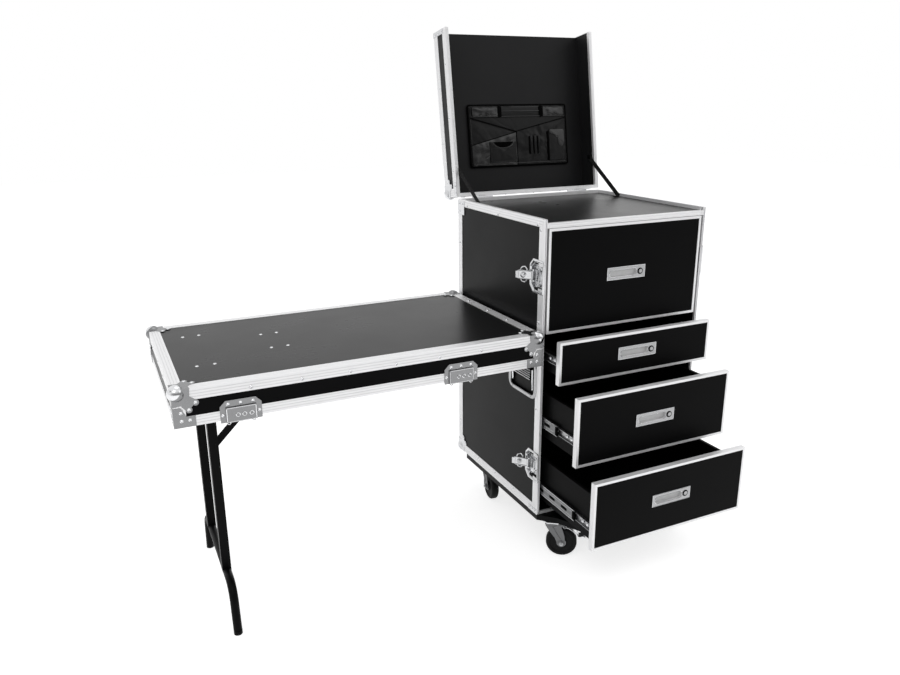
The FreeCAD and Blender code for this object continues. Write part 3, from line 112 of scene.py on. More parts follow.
# Sizes that the frame's boxes don't give, in millimetres and degrees
WALL = 1.5
BOARD = 9.0
LID_FACE_Z = CASE_H + LID_H - WALL - BOARD
SIDES = ("left", "right")
STRAP_X = 14.3
STRAP_W = 18.0
STRAP_T = 1.6
STRAP_PIECES = 24
STRAP_CASE_Y = 430.0
STRAP_LID = (HINGE_Y - 124, CASE_H + 30)
LATCH_LEVELS = (("lower", 162.0), ("upper", 779.5))
LATCH_HINGE_Y = 58.0
LATCH_HINGE_OUT = 4.0
LATCH_REST_DEG = 140.0
LATCH_SEAT = 28
DISH_BACK = 76
DISH_HALF = 51.5
DISH_CUT = 18.0
DISH_FLOOR = -7.4
WELL_BACK = -8.8
HANDLE_Y = (24.0, 191.0)
HANDLE_Z = (386.0, 514.0)
GRIP_RIBS = 5
GRIP_STEP = 7.4
TRAIL = 30.0
WHEEL_R = 50.0
AXLE_Z = (FLOOR_Z - ORIGIN.z) / MM + WHEEL_R
CHEEK_Y = 18.2
CHEEK_T = 3.0
HUB_PROFILE = ((6, 14), (15, 14), (15, 16.4), (12.5, 17.2), (6, 17.2), (6, 14))
BRAKE_PIN = (40, 0, AXLE_Z + WHEEL_R + 7)
BRAKE_R = 58
SLOT_L = 32
SLOT_STEP = 66
SCREW_OUT = -19.9
SCREW_REACHES = (34, 58, 110, 190, 300, 420)
PEN_LOOPS = (355, 372, 389)
BALL_R = 22.0
BALL_OUT = 9.0
SHELL_T = 0.25
PULL_BUTTON_X = 54.0
PLATE_T = 1.2
CATCH_T = 1.8
CATCH_OUT = 6
RAIL_RIVET_Z = 21
RIVET_PROFILE = ((0.0, 0.35), (1.1, 0.35), (1.45, 1.45), (2.3, 1.7), (3.4, 1.1), (4.1, 0.0))
LOBES = ((55.0, 38.0), (38.0, 55.0))
FOOT_RIVETS = ((18.0, 38.0), (18.0, 17.0), (38.0, 17.0))
LEFT, RIGHT, FRONT, BACK, UP = (-1, 0, 0), (1, 0, 0), (0, -1, 0), (0, 1, 0), (0, 0, 1)


# Places and outlines


def facing(point, normal, along):
    """A matrix that puts local Z on normal and local X as near along as it goes."""
    z = Vector(normal).normalized()
    x = (Vector(along) - z * z.dot(Vector(along))).normalized()
    turn = Matrix((x, z.cross(x), z)).transposed().to_4x4()
    return Matrix.Translation(Vector(point)) @ turn


def sideways(x, y, z, sign=1):
    """Puts local Z along Y, onward or back by sign, and local Y upright, at a place."""
    return Matrix(((1, 0, 0, x), (0, 0, sign, y), (0, 1, 0, z), (0, 0, 0, 1)))


def side_matrix(side):
    """From (back from the front edge, up, outwards) on one side of the case to the frame."""
    sign, start = (-1, 0) if side == "left" else (1, CASE_W)
    return WORLD @ Matrix(((0, 0, sign, start), (1, 0, 0, 0), (0, 1, 0, 0), (0, 0, 0, 1)))


def latch_matrix(side, level_z):
    """From (along the arm from its hinge, up, away from the case) to the arm swung open."""
    hinge = Vector((LATCH_HINGE_Y, level_z, LATCH_HINGE_OUT))
    shut = Matrix(((-1, 0, 0, hinge.x), (0, 1, 0, hinge.y), (0, 0, 1, hinge.z), (0, 0, 0, 1)))
    swing = Matrix.Rotation(math.radians(LATCH_REST_DEG), 4, "Y")
    return side_matrix(side) @ turned_about(hinge, swing) @ shut


def castor_matrix(name):
    """From the castor's own frame, with the wheel trailing along X, to the frame."""
    pivot = (Vector(JOINTS["swivel_" + name]["pos_m"]) - ORIGIN) / MM
    low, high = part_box("wheel_" + name)
    trail = ((low + high) / 2 - ORIGIN) / MM - pivot
    heading = math.atan2(trail.y, trail.x)
    return WORLD @ Matrix.Translation((pivot.x, pivot.y, 0)) @ Matrix.Rotation(heading, 4, "Z")


def placed(matrix, points):
    return [matrix @ Vector(point) for point in points]


def lift(points, height):
    return [Vector((point[0], point[1], height)) for point in points]


def between(start, end, pieces):
    return [Vector(start).lerp(Vector(end), k / pieces) for k in range(pieces + 1)]


def arc(centre, radius, start, step, count):
    """Points round a centre, by angles in degrees; radius is one number or one for each axis."""
    across, up = radius if isinstance(radius, tuple) else (radius, radius)
    turn = [math.radians(start + step * k) for k in range(count)]
    return [(centre[0] + across * math.cos(a), centre[1] + up * math.sin(a)) for a in turn]


def circle(centre, radius, steps):
    return arc(centre, radius, 0, 360 / steps, steps)


def stadium(x0, x1, radius):
    """An oblong with round ends along X."""
    return arc((x1 - radius, 0), radius, -90, 18, 11) + arc((x0 + radius, 0), radius, 90, 18, 11)


def rounded(points, radius, steps=4):
    """A closed outline with its corners rounded."""
    out = []
    for k, point in enumerate(points):
        corner = Vector(point)
        before = Vector(points[k - 1]) - corner
        after = Vector(points[(k + 1) % len(points)]) - corner
        half = before.angle(after) / 2
        cut = min(radius / math.tan(half), 0.48 * before.length, 0.48 * after.length)
        start = corner + before.normalized() * cut
        end = corner + after.normalized() * cut
        for step in range(steps + 1):
            t = step / steps
            out.append(start * (1 - t) ** 2 + corner * (2 * t * (1 - t)) + end * t ** 2)
    return out


def rect(x0, y0, x1, y1, radius=3.0):
    return rounded(((x0, y0), (x1, y0), (x1, y1), (x0, y1)), radius)


def divided(points, spacing):
    """The same closed outline with points no further apart than spacing."""
    out = []
    for k, point in enumerate(points):
        start, end = Vector(point), Vector(points[(k + 1) % len(points)])
        out += between(start, end, max(1, math.ceil((end - start).length / spacing)))[:-1]
    return out


def middle_of(outline):
    return sum((Vector(point) for point in outline), Vector((0, 0))) / len(outline)


# Mesh making: points and sizes are in the millimetres of the matrix that places them


def add_rings(bm, rings, closed_ends=True):
    """Skin a list of equally long closed rings of points."""
    made = [[bm.verts.new(point) for point in ring] for ring in rings]
    count = len(made[0])
    for low, high in zip(made, made[1:]):
        for k in range(count):
            bm.faces.new((low[k], low[(k + 1) % count], high[(k + 1) % count], high[k]))
    if closed_ends:
        bm.faces.new(list(reversed(made[0])))
        bm.faces.new(made[-1])


def add_plate(bm, outline, base, top, matrix, edge=0.4):
    """A flat piece between two heights whose upper edge is softened."""
    centre = middle_of(outline)
    rings = []
    for height, inset in ((base, 0.0), (top - edge, 0.0), (top, edge)):
        ring = [Vector(point) + (centre - Vector(point)).normalized() * inset for point in outline]
        rings.append(placed(matrix, lift(ring, height)))
    add_rings(bm, rings)


def add_pad(bm, outline, base, height, matrix, puff, rings, ripple):
    """A padded panel that swells towards its middle, with a rippled skin."""
    centre = middle_of(outline)
    made = [placed(matrix, lift(outline, base))]
    for ring in range(rings + 1):
        share = ring / (rings + 1)
        rise = height + puff * math.sin(share * math.pi / 2)
        points = []
        for point in outline:
            inside = Vector(point).lerp(centre, share)
            wave = ripple * noise.noise(Vector((*inside, base)) * 0.07) if ring else 0.0
            points.append(matrix @ Vector((*inside, base + rise + wave)))
        made.append(points)
    add_rings(bm, made)


def add_lathe(bm, profile, matrix, steps=20):
    """Turn a profile of (radius, height) pairs round local Z."""
    rings = [lift(circle((0, 0), radius, steps), height) for radius, height in profile]
    add_rings(bm, [placed(matrix, ring) for ring in rings])


def add_tube(bm, matrix, points, radius, steps=8, closed=False, flat=1.0):
    """A bar along a line of points; flat squeezes it across its second axis."""
    points = placed(matrix, points)
    radius = radius * MM
    count = len(points)
    rings = []
    normal = None
    for k, point in enumerate(points):
        before = points[k - 1] if closed or k else point
        after = points[(k + 1) % count] if closed or k < count - 1 else point
        tangent = (after - before).normalized()
        if normal is None:
            helper = Vector(UP if abs(tangent.z) < 0.9 else RIGHT)
            normal = tangent.cross(helper).normalized()
        normal = (normal - tangent * normal.dot(tangent)).normalized()
        side = tangent.cross(normal) * flat
        rings.append([point + normal * x + side * y for x, y in circle((0, 0), radius, steps)])
    if closed:
        rings.append(rings[0])
    add_rings(bm, rings, closed_ends=not closed)


def add_bent_strip(bm, matrix, line, width, thickness):
    """A strip of sheet bent along a line of points, with its width along local Y."""
    across = (matrix.to_3x3() @ Vector(BACK)).normalized()
    side = across * (width / 2 * MM)
    line = placed(matrix, line)
    rings = []
    for k, point in enumerate(line):
        along = line[min(k + 1, len(line) - 1)] - line[max(k - 1, 0)]
        up = along.normalized().cross(across) * (thickness / 2 * MM)
        rings.append([point - side - up, point + side - up, point + side + up, point - side + up])
    add_rings(bm, rings)


def add_rivet(bm, point, normal, matrix, size=1.2):
    """A domed rivet with the dent of its pin."""
    turn = matrix @ facing(point, normal, UP if abs(Vector(normal).z) < 0.9 else RIGHT)
    add_lathe(bm, [(r * size, h * size) for r, h in RIVET_PROFILE], turn, 14)


def finish_piece(name, bm, body, finish, smooth=35.0):
    """Turn a bmesh into a piece that rides on a body, with its finish."""
    bmesh.ops.remove_doubles(bm, verts=bm.verts, dist=1e-6)
    bmesh.ops.recalc_face_normals(bm, faces=bm.faces)
    mesh = bpy.data.meshes.new(name)
    bm.to_mesh(mesh)
    bm.free()
    mesh.shade_smooth()
    mesh.set_sharp_from_angle(angle=math.radians(smooth))
    piece = bpy.data.objects.new(name, mesh)
    bpy.context.scene.collection.objects.link(piece)
    mesh.materials.append(MATERIALS[finish])
    if body:
        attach(piece, body)
    return piece


# Shader node groups


def new_group(name, inputs, outputs):
    """An empty group, with the sockets that come in and go out."""
    tree = bpy.data.node_groups.new(name, "ShaderNodeTree")
    for label, value in inputs.items():
        kind = "NodeSocketFloat" if isinstance(value, float) else "NodeSocketVector"
        socket = tree.interface.new_socket(label, in_out="INPUT", socket_type=kind)
        if value is not None:
            socket.default_value = value
    for label in outputs:
        tree.interface.new_socket(label, in_out="OUTPUT", socket_type="NodeSocketFloat")
    entry = tree.nodes.new("NodeGroupInput").outputs
    return tree, entry, tree.nodes.new("NodeGroupOutput").inputs


def add_node(tree, kind, inputs=(), **settings):
    """A node with its settings and inputs; an input is a socket to link or a value to set."""
    node = tree.nodes.new("ShaderNode" + kind)
    for key, value in settings.items():
        setattr(node, key, value)
    for key, value in dict(inputs).items():
        if isinstance(value, bpy.types.NodeSocket):
            tree.links.new(value, node.inputs[key])
        else:
            node.inputs[key].default_value = value
    return node


def calc(tree, operation, *values):
    return add_node(tree, "Math", dict(enumerate(values)), operation=operation).outputs[0]


def calc_vector(tree, operation, *values):
    return add_node(tree, "VectorMath", dict(enumerate(values)), operation=operation).outputs[0]


def remap(tree, value, low, high, new_low=0.0, new_high=1.0, kind="LINEAR"):
    ranges = {0: value, 1: low, 2: high, 3: new_low, 4: new_high}
    return add_node(tree, "MapRange", ranges, interpolation_type=kind).outputs[0]


def groove_group():
    """Fine lines along the edges of a box: their height and a mask of their shadows."""
    sockets = {"Position": None, "Middle": None, "Half Size": None, "Pitch": 0.0075}
    tree, entry, out = new_group("Rail Grooves", sockets, ("Height", "Mask"))
    offset = calc_vector(tree, "SUBTRACT", entry["Position"], entry["Middle"])
    inside = calc_vector(tree, "SUBTRACT", entry["Half Size"], calc_vector(tree, "ABSOLUTE", offset))
    split = add_node(tree, "SeparateXYZ", {0: inside}).outputs
    low = calc(tree, "MINIMUM", split[0], split[1])
    high = calc(tree, "MAXIMUM", split[0], split[1])
    median = calc(tree, "MAXIMUM", low, calc(tree, "MINIMUM", high, split[2]))
    turns = calc(tree, "DIVIDE", median, entry["Pitch"])
    part = calc(tree, "FRACT", calc(tree, "ADD", turns, 0.5))
    away = calc(tree, "ABSOLUTE", calc(tree, "SUBTRACT", part, 0.5))
    line = remap(tree, away, 0.0, 0.16, 1.0, 0.0, "SMOOTHSTEP")
    past_edge = calc(tree, "GREATER_THAN", turns, 0.5)
    before_end = calc(tree, "LESS_THAN", turns, 3.5)
    mask = calc(tree, "MULTIPLY", line, calc(tree, "MULTIPLY", past_edge, before_end))
    tree.links.new(calc(tree, "MULTIPLY", mask, -1.0), out["Height"])
    tree.links.new(mask, out["Mask"])
    return tree


def grain_group():
    """Two sizes of soft noise: a value for tint and gloss, and a height for the skin."""
    sockets = {"Position": None, "Patch": 12.0, "Grain": 900.0}
    tree, entry, out = new_group("Skin Grain", sockets, ("Value", "Fine"))
    for label, size, detail, roughness in (("Value", "Patch", 4.0, 0.6), ("Fine", "Grain", 2.0, 0.5)):
        cloud = add_node(tree, "TexNoise", {"Vector": entry["Position"], "Scale": entry[size],
                                            "Detail": detail, "Roughness": roughness})
        tree.links.new(cloud.outputs["Fac"], out[label])
    return tree


def wear_group():
    """Specks scattered in patches, as a mask."""
    sockets = {"Position": None, "Specks": 160.0, "Amount": 0.5}
    tree, entry, out = new_group("Scuffs", sockets, ("Mask",))
    speck = add_node(tree, "TexVoronoi", {"Vector": entry["Position"], "Scale": entry["Specks"]})
    dots = remap(tree, speck.outputs["Distance"], 0.05, 0.16, 1.0, 0.0)
    where = add_node(tree, "TexNoise", {"Vector": entry["Position"], "Scale": 9.0})
    mask = calc(tree, "MULTIPLY", dots, remap(tree, where.outputs["Fac"], 0.52, 0.72))
    tree.links.new(calc(tree, "MULTIPLY", mask, entry["Amount"]), out["Mask"])
    return tree


def pebble_group():
    """Leather's pebbled grain with its creases."""
    tree, entry, out = new_group("Pebble Grain", {"Position": None, "Scale": 600.0}, ("Height", "Value"))
    cells = add_node(tree, "TexVoronoi", {"Vector": entry["Position"], "Scale": entry["Scale"]},
                     feature="DISTANCE_TO_EDGE")
    crease = add_node(tree, "TexNoise", {"Vector": entry["Position"], "Scale": 26.0,
                                         "Detail": 5.0, "Distortion": 1.2}).outputs["Fac"]
    cell_height = calc(tree, "MULTIPLY", remap(tree, cells.outputs["Distance"], 0.0, 0.3), 0.35)
    tree.links.new(calc(tree, "ADD", cell_height, crease), out["Height"])
    tree.links.new(crease, out["Value"])
    return tree


def weave_group():
    """The diagonal rib of webbing."""
    tree, entry, out = new_group("Webbing Rib", {"Position": None, "Scale": 420.0}, ("Height",))
    waves = [add_node(tree, "TexWave", {"Vector": entry["Position"], "Scale": entry["Scale"],
                                        "Distortion": 1.0}, bands_direction=bands).outputs["Fac"]
             for bands in ("DIAGONAL", "Z")]
    tree.links.new(calc(tree, "MULTIPLY", *waves), out["Height"])
    return tree


GROUPS = {}


def add_group(tree, maker, inputs):
    """Place a shared group, made on its first use, and give its outputs."""
    if maker not in GROUPS:
        GROUPS[maker] = maker()
    return add_node(tree, "Group", inputs, node_tree=GROUPS[maker]).outputs


# Materials


MATERIALS = {}


def scaled(colour, factor):
    return tuple(min(1.0, channel * factor) for channel in colour)


def new_material(name, **sockets):
    """A material, its tree, its shader's sockets with their plain values, and the place."""
    material = bpy.data.materials.new(name)
    material.use_nodes = True
    tree = material.node_tree
    shader = tree.nodes["Principled BSDF"].inputs
    for label, value in sockets.items():
        shader[label.replace("_", " ")].default_value = value
    return material, tree, shader, add_node(tree, "TexCoord").outputs["Object"]


def tint(tree, shader, factor, colour, low, high):
    """Drive Base Color between two strengths of a colour."""
    mix = add_node(tree, "Mix", {"Factor": factor, "A": (*scaled(colour, low), 1),
                                 "B": (*scaled(colour, high), 1)}, data_type="RGBA")
    tree.links.new(mix.outputs["Result"], shader["Base Color"])


def vary_gloss(tree, shader, value, low, high):
    tree.links.new(remap(tree, value, 0.25, 0.75, low, high), shader["Roughness"])


def bump(tree, shader, height, distance, strength=1.0, **under):
    inputs = {"Height": height, "Distance": distance, "Strength": strength, **under}
    normal = add_node(tree, "Bump", inputs).outputs["Normal"]
    tree.links.new(normal, shader["Normal"])
    return normal


def skin(tree, shader, position, patch, grain, gloss, depth):
    """Mottled gloss and a fine grain; gives the mottling and the normal."""
    clouds = add_group(tree, grain_group, {"Position": position, "Patch": patch, "Grain": grain})
    vary_gloss(tree, shader, clouds["Value"], *gloss)
    return clouds["Value"], bump(tree, shader, clouds["Fine"], depth)


def speckled(name, colour, grain, gloss, dust, brightest, specular):
    """A mottled black skin with a few pale specks."""
    material, tree, shader, position = new_material(name, Specular_IOR_Level=specular)
    patch, fine, depth = grain
    share, specks, amount = dust
    mottling, _ = skin(tree, shader, position, patch, fine, gloss, depth)
    dots = add_group(tree, wear_group, {"Position": position, "Specks": specks, "Amount": amount})
    worn = calc(tree, "ADD", calc(tree, "MULTIPLY", mottling, share), dots["Mask"])
    tint(tree, shader, worn, colour, 0.7, brightest)
    return material, tree, shader


def laminate(name, colour, gloss, specular, top_shine=None):
    """Black laminate, whose upward faces may shine more."""
    material, tree, shader = speckled(name, colour, (7.0, 750.0, 0.00006), (gloss - 0.05, gloss + 0.06),
                                      (0.5, 140.0, 0.12), 2.2, specular)
    if top_shine is not None:
        normal = add_node(tree, "TexCoord").outputs["Normal"]
        upward = add_node(tree, "SeparateXYZ", {0: normal}).outputs[2]
        tree.links.new(remap(tree, upward, 0.4, 0.8, 0.0, top_shine), shader["Coat Weight"])
        shader["Coat Roughness"].default_value = gloss
    return material


def coated(name, colour, low, high, grain, depth, specular=0.5):
    """Powder coat, rubber or moulded plastic."""
    return speckled(name, colour, (30.0, grain, depth), (low, high), (0.6, 220.0, 0.25), 1.8, specular)[0]


def plated_steel(name, colour, low, high, patch=60.0):
    """Zinc or nickel plate with a cloudy spangle."""
    material, tree, shader, position = new_material(name, Metallic=1.0)
    spangle, _ = skin(tree, shader, position, patch, 2200.0, (low, high), 0.00003)
    tint(tree, shader, spangle, colour, 0.8, 1.1)
    return material


def drawn_metal(name, colour, middle=None, half=None, turn=None):
    """Satin aluminium profile with fine lines along it."""
    material, tree, shader, position = new_material(name, Metallic=0.5)
    if turn is not None:
        position = add_node(tree, "Mapping", {"Vector": position, "Location": turn.to_translation(),
                                              "Rotation": turn.to_euler()}).outputs["Vector"]
    satin, normal = skin(tree, shader, position, 24.0, 1500.0, (0.34, 0.46), 0.00003)
    if middle is None:
        tint(tree, shader, satin, colour, 0.94, 1.0)
        return material
    grooves = add_group(tree, groove_group, {"Position": position, "Middle": middle, "Half Size": half})
    tint(tree, shader, grooves["Mask"], colour, 1.0, 0.84)
    bump(tree, shader, grooves["Height"], 0.0006, Normal=normal)
    return material


def leathercloth(name, colour):
    material, tree, shader, position = new_material(name, Specular_IOR_Level=0.24, Coat_Weight=0.03)
    pebble = add_group(tree, pebble_group, {"Position": position, "Scale": 520.0})
    tint(tree, shader, pebble["Value"], colour, 0.2, 0.9)
    vary_gloss(tree, shader, pebble["Value"], 0.26, 0.42)
    bump(tree, shader, pebble["Height"], 0.0004, 0.4)
    return material


def webbing(name, colour):
    material, tree, shader, position = new_material(name, Specular_IOR_Level=0.06, Sheen_Weight=0.1,
                                                    Roughness=0.8)
    weave = add_group(tree, weave_group, {"Position": position})
    grain = add_group(tree, grain_group, {"Position": position, "Patch": 40.0, "Grain": 1800.0})
    tint(tree, shader, grain["Fine"], colour, 0.6, 1.7)
    bump(tree, shader, weave["Height"], 0.0005)
    return material


def make_materials(look):
    black, metal, zinc = tuple(look.laminate), tuple(look.aluminium), tuple(look.zinc)
    middle = ORIGIN + Vector((CASE_W, CASE_D, CASE_H)) * (MM / 2)
    table_low, table_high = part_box("table_profiles")
    lid_half = Vector((CASE_W, CASE_D, LID_H)) * (MM / 2)
    lid_middle = ORIGIN + Vector((CASE_W / 2, CASE_D / 2, CASE_H + LID_H / 2)) * MM
    MATERIALS.update(
        laminate=laminate("Black laminate", black, 0.34, 0.07),
        tabletop=laminate("Tabletop laminate", black, 0.3, 0.03, 0.4),
        # The drawer boards are the black laminate at six tenths strength: painted shade on the drawer fronts.
        drawer_board=laminate("Drawer board", scaled(black, 0.6), 0.45, 0.04),
        lid_lining=laminate("Lid lining", scaled(black, 2.2), 0.5, 0.2),
        case_profile=drawn_metal("Carcass profile", metal, middle, middle - ORIGIN),
        table_profile=drawn_metal("Table profile", metal, (table_low + table_high) / 2,
                                  (table_high - table_low) / 2),
        lid_profile=drawn_metal("Lid profile", metal, lid_middle, lid_half, WORLD @ LID.inverted()),
        trim=drawn_metal("Drawer edging", metal),
        # Plated finishes are the one zinc colour at other strengths; the copies above full strength are lit
        # copies that paint highlights.
        zinc=plated_steel("Zinc plate", zinc, 0.2, 0.34),
        # Zinc at nearly three times strength paints the highlights of rivets, rolled edges, ribs, rims, ball
        # corners, pressings and brake levers.
        bright=plated_steel("Zinc painted highlight", scaled(zinc, 2.9), 0.12, 0.22),
        latch=plated_steel("Latch plate", scaled(zinc, 2.4), 0.14, 0.26),
        case_fitting=plated_steel("Carcass fitting", scaled(zinc, 2.6), 0.25, 0.35),
        handle=plated_steel("Handle frame", scaled(zinc, 1.6), 0.25, 0.35),
        slide=plated_steel("Slide zinc", scaled(zinc, 0.7), 0.3, 0.45, 25.0),
        fork=plated_steel("Castor steel", scaled(zinc, 0.65), 0.4, 0.5, 25.0),
        pull=plated_steel("Pull plate", scaled(zinc, 1.6), 0.3, 0.42, 15.0),
        thread=coated("Dark thread", (0.03, 0.03, 0.031), 0.5, 0.7, 900.0, 0.00003),
        powder=coated("Black powder coat", (0.003, 0.003, 0.0032), 0.36, 0.5, 1400.0, 0.00012, 0.07),
        tyre=coated("Wheel rubber", tuple(look.rubber), 0.5, 0.7, 900.0, 0.0001, 0.15),
        # Near-black that paints the shade in openings, seams, slots and round the pull buttons, and is also
        # the own black of the grips and slide bumpers.
        void=coated("Painted shade", (0.002, 0.002, 0.002), 0.7, 0.9, 900.0, 0.00001, 0.02),
        bumper=coated("Black plastic", (0.004, 0.004, 0.0042), 0.45, 0.6, 1200.0, 0.00005, 0.12),
        # Pale paint in the pull pockets stands for light that the deep pockets do not get: painted light.
        recess=coated("Pale recess", (0.75, 0.75, 0.76), 0.3, 0.42, 900.0, 0.00001),
        piping=coated("Glossy leathercloth", (0.006, 0.006, 0.0062), 0.16, 0.28, 500.0, 0.0001, 0.65),
        leather=leathercloth("Black leathercloth", tuple(look.leather)),
        webbing=webbing("Black webbing", (0.006, 0.006, 0.0063)))


NODE_FINISHES = {
    "laminate": "side_panels rear_panel base_boards",
    "tabletop": "worktop_panel table_boards",
    "drawer_board": "drawer?_box",
    "lid_lining": "lid_boards",
    "case_profile": "edge_profiles front_frame",
    "table_profile": "table_profiles",
    "lid_profile": "lid_profiles",
    "trim": "drawer?_trim",
    "case_fitting": "case_fittings lid_fittings",
    "zinc": "side_dishes table_fittings fork_* brake_* latch_* bail_*",
    "slide": "outer_slides drawer?_slides",
    "pull": "drawer?_fittings drawer?_button",
    "powder": "leg_frame brace_lower brace_upper",
    "tyre": "wheel_*",
    "leather": "organiser",
    "webbing": "lid_straps",
}


def colour(name, description, *channels):
    return FloatVectorProperty(name=name, description=description, default=channels, subtype="COLOR",
                               min=0, max=1)


def angle(name, description, degrees):
    return FloatProperty(name=name, description=description, default=math.radians(degrees),
                         unit="ROTATION")


class CaseLook(PropertyGroup):
    laminate: colour("Laminate", "Colour of the black boards", 0.0045, 0.0045, 0.0048)
    aluminium: colour("Aluminium", "Colour of the edge profiles", 0.94, 0.94, 0.95)
    # The zinc colour is plated steel's, set low to paint the unlit room mirrored in the flat plates.
    zinc: colour("Zinc", "Colour of the plated steel", 0.26, 0.262, 0.267)
    leather: colour("Leathercloth", "Colour of the lid organiser", 0.006, 0.006, 0.0064)
    rubber: colour("Rubber", "Colour of the castor tyres", 0.005, 0.005, 0.005)


class StageSettings(PropertyGroup):
    view_turn: angle("Camera azimuth", "Camera's turn round the case", -25.285)
    view_rise: angle("Camera elevation", "Camera's angle above the horizon", 17.158)
    view_roll: angle("Camera roll", "Camera's tilt", -0.436)
    eye: FloatVectorProperty(name="Camera place", description="Camera's place in case coordinates",
                             unit="LENGTH", default=(-1.193344, -1.880131, 1.284168))
    lens: FloatProperty(name="Lens", description="Focal length in millimetres", default=30.83)
    sky_light: FloatProperty(name="Sky light", description="Strength of the surrounding light",
                             default=0.6)
    dim_side: FloatProperty(name="Dim side", default=0.8, min=0, max=1,
                            description="How much darker the studio's far side is in reflections")
    key_power: FloatProperty(name="Key lamp", description="Power of the main lamp", unit="POWER",
                             default=25.0)


class DRAWERCASE_OT_finishes(Operator):
    """Make the finishes and put them on the carried-over nodes"""
    bl_idname = "drawercase.finishes"
    bl_label = "Finishes"

    def execute(self, context):
        make_materials(context.scene.drawer_case_look)
        for finish, patterns in NODE_FINISHES.items():
            for name, node in frame["nodes"].items():
                if any(fnmatch(name, pattern) for pattern in patterns.split()):
                    for slot in node.material_slots:
                        slot.material = MATERIALS[finish]
        return {"FINISHED"}


def spots(normal, xs, ys, zs):
    """Rivets that face one way, at every mix of the given places."""
    return [((x, y, z), normal) for x in xs for y in ys for z in zs]


def both_sides(rows):
    """Rivets on the left side, with their mirror images on the right."""
    return rows + [((CASE_W - x, y, z), (-nx, ny, nz)) for (x, y, z), (nx, ny, nz) in rows]


def face_rivets(corner, signs, axes, moves):
    """Rivets on the plates over a corner's faces, each moved inward along the two other axes."""
    out = []
    for axis in axes:
        normal = [0, 0, 0]
        normal[axis] = -signs[axis]
        for pair in moves:
            point = list(corner)
            point[axis] -= signs[axis] * PLATE_T
            for k, reach in zip([k for k in range(3) if k != axis], pair):
                point[k] += signs[k] * reach
            out.append((point, normal))
    return out


def case_rivets():
    post_levels = (801, 560, 320, 120)
    rows = spots(LEFT, (0,), (39, 281, 500), (934,))
    rows += spots(LEFT, (0,), (154, 283, 412), (20,))
    rows += spots(LEFT, (0,), (557,), post_levels)
    rows += spots(LEFT, (0,), (22,), (920, 640, 357))
    rows += spots(LEFT, (-PLATE_T,), (10, 26, 42), (9,))
    rows += spots(LEFT, (-PLATE_T,), (534, 557), (938,)) + spots(LEFT, (-PLATE_T,), (557,), (912,))
    rows += spots(BACK, (15,), (CASE_D,), post_levels)
    rows = both_sides(rows)
    rows += spots(BACK, (150, 300, 450), (CASE_D,), (15,)) + spots(BACK, (300,), (CASE_D,), (940,))
    for x, sign in ((0, 1), (CASE_W, -1)):
        rows += face_rivets((x, CASE_D, 0), (sign, -1, 1), range(3), LOBES)
    return rows


def lid_rivets():
    top = CASE_H + LID_H
    rows = spots(LEFT, (0,), (120, 300, 480), (CASE_H + 20,))
    rows += spots(LEFT, (0,), (190, 380), (top - 15,))
    rows += spots(LEFT, (-PLATE_T,), (9,), (top - 14, top - 40, top - 66))
    rows += spots(LEFT, (-PLATE_T,), (CASE_D - 14, CASE_D - 38), (CASE_H + 9,))
    rows = both_sides(rows)
    across = (120, 240, 360, 480)
    rows += spots(BACK, across, (CASE_D,), (top - 15,)) + spots(UP, across, (CASE_D - 15,), (top,))
    for x, sign in ((0, 1), (CASE_W, -1)):
        rows += face_rivets((x, CASE_D, top), (sign, -1, -1), range(3), LOBES)
    return rows


def table_rivets():
    x0, y0, z0 = TABLE_LOW
    x1, y1, z1 = TABLE_HIGH
    along = [x0 + 192 + 130.4 * k for k in range(6)]
    across = (160, 290, 429)
    rail = (z1 - RAIL_RIVET_Z,)
    rows = spots(FRONT, along, (y0,), rail) + spots(BACK, along, (y1,), rail)
    rows += spots(LEFT, (x0,), across, rail) + spots(RIGHT, (x1,), across, rail)
    rows += spots(UP, (x1 - 18,), across, (z1,))
    field = (z1 - WALL + 0.5,)
    rows += spots(UP, (-977, -931), (431, 141), field) + spots(UP, (-763, -716), (355, 214), field)
    for x, sx in ((x0, 1), (x1, -1)):
        for y, sy in ((y0, 1), (y1, -1)):
            rows += face_rivets((x, y, z1), (sx, sy, -1), range(3), LOBES)
            rows += face_rivets((x, y, z0), (sx, sy, 1), (1, 0), FOOT_RIVETS)
    for _, level in LATCH_LEVELS:
        for y, normal in ((y0 - CATCH_T, FRONT), (y1 + CATCH_T, BACK)):
            middle = x0 + level
            rows += spots(normal, (middle - 31, middle, middle + 31), (y,), (z0 + 42,))
            rows += spots(normal, (middle - 45, middle + 45), (y,), (z0 + 14,))
    return rows


class DRAWERCASE_OT_rivets(Operator):
    """Rivets of the profiles, corners and plates"""
    bl_idname = "drawercase.rivets"
    bl_label = "Rivets"

    def execute(self, context):
        for body, matrix, rows in (("case", WORLD, case_rivets()), ("lid", LID, lid_rivets()),
                                   ("table", WORLD, table_rivets())):
            bm = bmesh.new()
            for point, normal in rows:
                add_rivet(bm, point, normal, matrix)
            # The rivets are finished in the lit zinc copy, which paints their highlights.
            finish_piece(body + "_rivets", bm, body, "bright")
        return {"FINISHED"}


